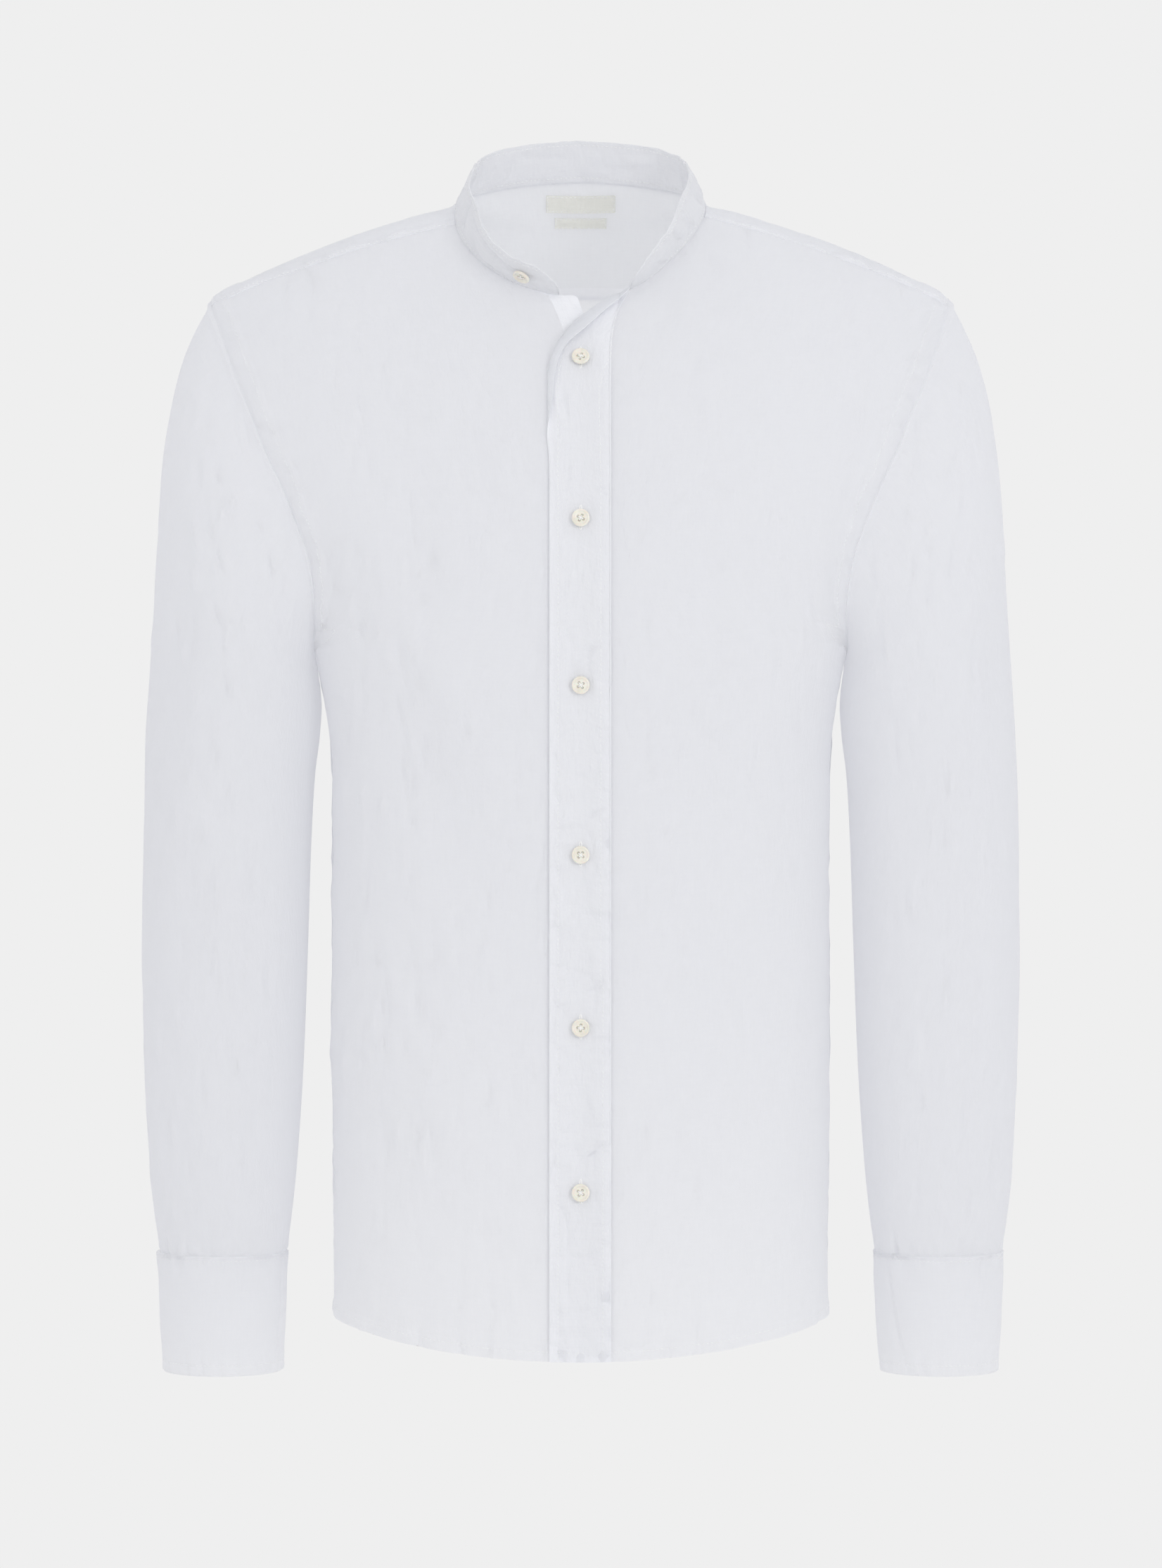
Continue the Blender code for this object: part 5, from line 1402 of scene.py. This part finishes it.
# %% [markdown]
# ## Cuffs
#
# A barrel cuff is a doubled strip wound once round the wrist, its ends lapped and buttoned at the back. It
# is stitched close to its edges, and washing has puckered it between the rows.

# %% Sizes of the cuffs
CUFF_TOP_Z, CUFF_DEPTH, CUFF_MIDDLE = -0.6608, 0.0750, (0.2253, -0.013)
CUFF_LAP_TURN, CUFF_LAP, CUFF_RAMP = math.radians(290.0), math.radians(29.0), math.radians(24.0)
CUFF_LAST_TURN = CUFF_LAP_TURN + CUFF_LAP + 2 * math.pi
CUFF_GIRTH = 0.038       # metres round the cuff for each radian
CUFF_COLUMNS, CUFF_LOW_STITCH, CUFF_TOP_STITCH, CUFF_GROOVE = 190, 0.0060, 0.0025, 0.0003
CROSS_CREASE, CROSS_CREASE_DEPTH, CROSS_CREASE_WIDTH = 0.0225, 0.0004, 0.0011
CUFF = table(
    "down half_width half_depth",
    (0.0, 0.0402, 0.0390), (0.5, 0.0388, 0.0370), (1.0, 0.0362, 0.0345),
)
CUFF_CREASE = "turn1 down1 turn2 down2 bow spread height"
CUFF_CREASES = {
    -1: table(
        CUFF_CREASE,
        (2.80, 0.002, 2.72, 0.073, 0.03, 0.05, -0.0012), (1.90, 0.001, 1.95, 0.026, 0.01, 0.03, -0.0006),
    ),
    1: table(
        CUFF_CREASE,
        (2.55, 0.002, 2.20, 0.073, 0.05, 0.05, -0.0012), (1.25, 0.001, 1.22, 0.026, 0.01, 0.03, -0.0006),
        (0.95, 0.001, 0.97, 0.024, 0.01, 0.03, -0.0005),
    ),
}


# %% The cuffs' face and creases
def cuff_layer(turn, down, side, lift):
    """The cuff's face at angles round the wrist, its lap wound half a layer out over its other end."""
    half_width, half_depth = read(CUFF, down)
    over = ease((turn - CUFF_LAST_TURN + CUFF_LAP + CUFF_RAMP) / CUFF_RAMP)
    under = ease((CUFF_LAP_TURN + CUFF_LAP + CUFF_RAMP - turn) / CUFF_RAMP)
    reach = (DOUBLED + SEAM_GAP) / 2 * (over - under) + lift
    x = CUFF_MIDDLE[0] + (half_width + reach) * np.cos(turn)
    y = CUFF_MIDDLE[1] - (half_depth + reach) * np.sin(turn)
    return as_points(side * x, y, CUFF_TOP_Z - CUFF_DEPTH * down)


def cuff_creases(sheet, angle, down):
    """Creases that run down a cuff, drawn by angle round the wrist and by distance down."""
    height = np.zeros(np.broadcast(angle, down).shape)
    for t1, d1, t2, d2, bow, spread, depth in zip(*sheet.values()):
        along = (down - d1) / (d2 - d1)
        middle = t1 + (t2 - t1) * along + 4 * bow * along * (1 - along)
        bell = np.exp(-((angle - middle) / spread) ** 2)
        height += depth * bell * ease(4 * along + 0.3) * ease(4.3 - 4 * along)
    return height


# %% Cuffs
def make_cuff(side):
    turn = np.linspace(CUFF_LAP_TURN, CUFF_LAST_TURN, CUFF_COLUMNS)[:, None]
    down = spaced(CUFF_DEPTH, 0.0025, dense=0.008)[None, :]
    top, low = down * CUFF_DEPTH, CUFF_DEPTH - down * CUFF_DEPTH
    around = turn * CUFF_GIRTH
    dress = 0.0004 * crumple(around, top, 0.016, 81 + side)
    dress = dress + cuff_creases(CUFF_CREASES[side], turn % (2 * math.pi), top)
    low_puckers = puckers(around, low, spacing=0.0060, reach=0.012, seed=83 + side, height=0.0011)
    top_puckers = puckers(around, top, spacing=0.0065, reach=0.010, seed=87 + side, height=0.0010)
    dress = dress + low_puckers * ease(low / 0.0012) + top_puckers * ease(top / 0.0012)
    dress = dress + stitch_groove(low, CUFF_LOW_STITCH, CUFF_GROOVE)
    dress = dress + stitch_groove(top, CUFF_TOP_STITCH, CUFF_GROOVE)
    cross = np.exp(-((top - CROSS_CREASE) / CROSS_CREASE_WIDTH) ** 2) * (np.sin(turn) > 0.15)
    dress = dress - CROSS_CREASE_DEPTH * cross
    ends = np.minimum(turn - turn[0], turn[-1] - turn) * CUFF_GIRTH
    rim = 0.5 * ease(top / 0.0006) + ease(low / 0.001) + ease(ends / 0.001)
    dress = dress * ease(ends / 0.020)
    outer = cuff_layer(turn, down, side, DOUBLED / 2 + dress - 0.0004 * (3 - rim) + 0.0002)
    inner = cuff_layer(turn, down, side, -DOUBLED / 2 + 0.0005 + 0.6 * dress)
    name = "cuff_" + HAND[side]
    finish_sheet(sheet(name + "_linen", outer, inner, LINEN), name)
    way = unit(outer - cuff_layer(turn, down, side, -0.01))
    for place in (np.abs(low - CUFF_LOW_STITCH).argmin(), np.abs(top - CUFF_TOP_STITCH).argmin()):
        seam_rows.setdefault("cuff_stitches", []).append((outer[:, place], way[:, place]))


for side in (-1, 1):
    make_cuff(side)

# %% [markdown]
# ## Labels
#
# Two short woven ribbons are stitched inside the back yoke: the size label below the wider one. They are
# smooth and bare. Their lower edge is folded, and it stands off the cloth enough to draw a thin shadow.

# %% Labels
# name: half length, top and bottom
LABELS = {"label_main": (0.0225, 0.0140, 0.0040), "label_size": (0.0168, 0.0005, -0.0055)}
LABEL_WALL, LABEL_FOLD, LABEL_BULGE = 0.0006, 0.0003, 0.0008


def make_label(name, half_length, top, bottom):
    x = np.linspace(-half_length, half_length, 61)[:, None]
    z = np.linspace(top, bottom, 15)[None, :]
    grid = body_seen(x + 0 * z, z + 0 * x, 1)
    end, low = half_length - np.abs(x), z - bottom
    lift = -(CLOTH / 2 + SEAM_GAP) + body_creases(grid)
    bulge = LABEL_BULGE * ease(low / 0.004) * ease((top - z) / 0.003) * crumple(x, z, 0.009, 91)
    fold = LABEL_FOLD * (1 - ease(low / 0.0012)) + LABEL_FOLD * (1 - ease(end / 0.0012))
    face = body_layer(grid, lift - LABEL_WALL + bulge - fold)
    piece = sheet(name + "_ribbon", body_layer(grid, lift + 0.0001), face, RIBBON)
    finish_sheet(piece, name)
    for line in (face[1], face[-2], face[:, 1], face[:, -2]):
        seam_rows.setdefault("label_stitches", []).append((line, -body_normal(line)))


for name, sizes in LABELS.items():
    make_label(name, *sizes)

# %% [markdown]
# ## Buttons
#
# A shirt button is turned from a disc of resin: a raised round rim, a dished middle and four drilled holes.
# One profile carried round the axis gives the disc, and the holes are pressed into its face as deep as the
# disc is thick. Crossed threads hold it, and a wound shank keeps it off the cloth.

# %% Button shape
BUTTON_RADIUS = 0.0055
HOLE_PLACE, HOLE_RADIUS, HOLE_DEPTH = 0.00135, 0.00075, 0.00105
BUTTON_PROFILE = table(
    "share radius height",
    (0.00, 0.00, 0.00), (0.14, 0.70, 0.00), (0.22, 0.93, 0.06), (0.28, 1.00, 0.17),
    (0.34, 0.985, 0.30), (0.40, 0.92, 0.385), (0.46, 0.84, 0.40), (0.52, 0.76, 0.355),
    (0.58, 0.70, 0.30), (0.70, 0.50, 0.25), (1.00, 0.00, 0.235),
)


def button_points(place, way, spin):
    """A button's points, its profile carried round and four holes pressed in, and its two ways across."""
    turn = np.linspace(0, 2 * math.pi, 57)[:-1, None]
    share = np.concatenate((np.linspace(0, 0.58, 16)[:-1], np.linspace(0.58, 1, 22)))[None, :]
    radius, height = (part * BUTTON_RADIUS for part in read(BUTTON_PROFILE, share))
    x, y = radius * np.cos(turn), radius * np.sin(turn)
    height = height + 0 * turn
    centres = [(a * HOLE_PLACE, b * HOLE_PLACE) for a in (-1, 1) for b in (-1, 1)]
    hole = np.min([np.hypot(x - a, y - b) for a, b in centres], axis=0)
    pressed = (1 - ease((hole - HOLE_RADIUS * 0.75) / (HOLE_RADIUS * 0.4))) * (share > 0.6)
    height = height - pressed * HOLE_DEPTH
    side = unit(np.cross((0.0, 0.0, 1.0) if abs(way[2]) < 0.9 else (0.0, 1.0, 0.0), way))
    up = np.cross(way, side)
    one, other = math.cos(spin) * side + math.sin(spin) * up, -math.sin(spin) * side + math.cos(spin) * up
    points = place + x[..., None] * one + y[..., None] * other + height[..., None] * way
    return points, one, other


# %% Threads and joined objects
TUBE_GUIDE = (0.35, 0.2, 0.9)            # no thread runs this way, so rings can be turned by it


def tube(path, radius, sides=8):
    """A round thread along a path: rings square to it, closed at both ends by a point."""
    along = unit(np.gradient(path, axis=0))
    first = unit(np.cross(along, TUBE_GUIDE))
    second = np.cross(along, first)
    turn = np.arange(sides) * 2 * math.pi / sides
    ring = np.cos(turn)[None, :, None] * first[:, None] + np.sin(turn)[None, :, None] * second[:, None]
    points = np.concatenate(((path[:, None] + radius * ring).reshape(-1, 3), path[:1], path[-1:]))
    index = brought_round(np.arange(len(path) * sides).reshape(-1, sides), 1)
    low, high = len(points) - 2, len(points) - 1
    tips = [(b, low, a) for a, b in zip(index[0, :-1].tolist(), index[0, 1:].tolist())]
    tips += [(a, high, b) for a, b in zip(index[-1, :-1].tolist(), index[-1, 1:].tolist())]
    return points, grid_faces(index).tolist() + tips


MERGE_DISTANCE = 0.000002


def merged_object(name, parts, material):
    """One object of several sets of points and faces, points that fall together made one."""
    points, faces, start = [], [], 0
    for part_points, part_faces in parts:
        points.append(part_points)
        faces += [[start + corner for corner in face] for face in part_faces]
        start += len(part_points)
    piece = mesh_object(name, np.concatenate(points), faces, material)
    shape = bmesh.new()
    shape.from_mesh(piece.data)
    bmesh.ops.remove_doubles(shape, verts=shape.verts, dist=MERGE_DISTANCE)
    bmesh.ops.recalc_face_normals(shape, faces=shape.faces)
    shape.to_mesh(piece.data)
    shape.free()
    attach(piece, "root")
    return piece


# %% Buttons in place
BUTTON_Z = (-0.107, -0.206, -0.307, -0.410, -0.515, -0.615)
BUTTON_SHANK, SHANK_RADIUS, SHANK_ENDS = 0.0006, 0.0011, (-0.0009, 0.0004)
CROSS_RADIUS, CROSS_OFFSET, CROSS_ARCH, CROSS_STEP, CROSS_DROP = 0.00019, 0.00016, 0.00155, 0.00032, 0.0011
BUTTON_SPINS = (0.5, 0.3, -0.2, 0.1, 0.7, 0.2, 0.3, 0.1, 0.1)
COLLAR_BUTTON_TURN = math.radians(-154.5)
places = {}
for number, z in enumerate(BUTTON_Z, start=1):
    seat = body_seen(np.array(0.0), np.array(z), -1)
    lift = body_creases(seat) + CLOTH / 2 + SEAM_GAP + DOUBLED + BUTTON_SHANK
    places[f"button_{number}"] = (body_layer(seat, lift), body_normal(seat))
foot, up, out = (part[0] for part in collar_frame(np.array([COLLAR_BUTTON_TURN])))
places["collar_button"] = (foot + up * COLLAR_HEIGHT / 2 + out * (DOUBLED / 2 + BUTTON_SHANK), out)
for side in (-1, 1):
    middle = CUFF_LAP_TURN + CUFF_LAP / 2 + 2 * math.pi
    seat, beyond = (cuff_layer(middle, 0.5, side, lift) for lift in (DOUBLED / 2 + BUTTON_SHANK, 0.01))
    places["cuff_button_" + HAND[side]] = (seat, unit(beyond - seat))

# %% Buttons and their threads
thread_parts = []
for (name, (place, way)), spin in zip(places.items(), BUTTON_SPINS):
    points, one, other = button_points(place, way, spin)
    index = np.arange(points[..., 0].size).reshape(points.shape[:2])
    disc = (points.reshape(-1, 3), grid_faces(brought_round(index)).tolist())
    button = merged_object(name + "_turned", [disc], RESIN)
    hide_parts(name)
    sway = np.linspace(-1, 1, 13)[:, None]
    for k, across in enumerate((one + other, one - other)):
        arch = CROSS_ARCH + CROSS_STEP * k - CROSS_DROP * np.abs(sway) ** 6
        for offset in (-CROSS_OFFSET, CROSS_OFFSET):
            beside = unit(np.cross(across, way)) * offset
            line = place + beside + sway * HOLE_PLACE * across + arch * way
            thread_parts.append(tube(line, CROSS_RADIUS))
    shank = np.linspace(*SHANK_ENDS, 5)[:, None]
    thread_parts.append(tube(place + shank * way, SHANK_RADIUS, sides=12))
merged_object("button_threads", thread_parts, THREAD_WHITE)
print("buttons", len(places))

# %% [markdown]
# ## Buttonholes
#
# A buttonhole is a cut bound on both sides with close satin stitches and closed by a bar across each end. It
# is drawn as a ribbed ring round the cut: a tube whose girth ripples with every stitch.

# %% Buttonholes
HOLE_LENGTH, HOLE_WIDTH, RIB = 0.0145, 0.0011, 0.00045
SATIN_RADIUS, SATIN_SWELL, SATIN_FLAT, HOLE_BEHIND, HOLE_ABOVE = 0.00042, 0.16, 0.6, 0.0013, 0.0006
LONG_ROUND, SHORT_ROUND = 0.35, 0.6      # powers that make the ring's path long-sided with round ends


def buttonhole(place, way, along):
    """The ring: a long oval path, its tube swelling once for each satin stitch."""
    turn = np.linspace(0, 2 * math.pi, 161)[:-1, None]
    girth = np.linspace(0, 2 * math.pi, 9)[:-1][None, :]
    beside = unit(np.cross(way, along))
    long_way = power(np.cos(turn), LONG_ROUND) * HOLE_LENGTH / 2
    short_way = power(np.sin(turn), SHORT_ROUND) * HOLE_WIDTH / 2
    centre = place + long_way[..., None] * along + short_way[..., None] * beside
    ribs = SATIN_RADIUS * (1 + SATIN_SWELL * np.cos(turn * HOLE_LENGTH / RIB))
    outward = unit(np.cos(turn)[..., None] * along * 0.4 + np.sin(turn)[..., None] * beside)
    points = centre + (ribs * np.cos(girth))[..., None] * outward
    points = points + (SATIN_FLAT * ribs * np.sin(girth))[..., None] * way
    index = np.arange(points[..., 0].size).reshape(points.shape[:2])
    return points.reshape(-1, 3), grid_faces(brought_round(brought_round(index), 1)).tolist()


holes = []
for number in range(1, len(BUTTON_Z) + 1):
    place, way = places[f"button_{number}"]
    along = unit(np.array((0.0, 0.0, 1.0)) - way[2] * way)
    holes.append(buttonhole(place - way * HOLE_BEHIND + along * HOLE_ABOVE, way, along))
merged_object("buttonholes", holes, THREAD_WHITE)

for group, rows in seam_rows.items():
    stitches(group, rows)

# %% [markdown]
# ## Finish
#
# The floor is far below the hem and pale like the surroundings.

# %% Floor
FLOOR_Z, FLOOR_RADIUS, FLOOR_SIDES = -1.25, 2.1, 64
turn = np.arange(FLOOR_SIDES) * 2 * math.pi / FLOOR_SIDES
ring = as_points(FLOOR_RADIUS * np.cos(turn), FLOOR_RADIUS * np.sin(turn), FLOOR_Z)
paint, *_ = new_material("matt_floor_paint", Roughness=0.95, Base_Color=linear("#F4F4F4"))
floor = mesh_object("floor", ring, [list(range(FLOOR_SIDES))], paint)
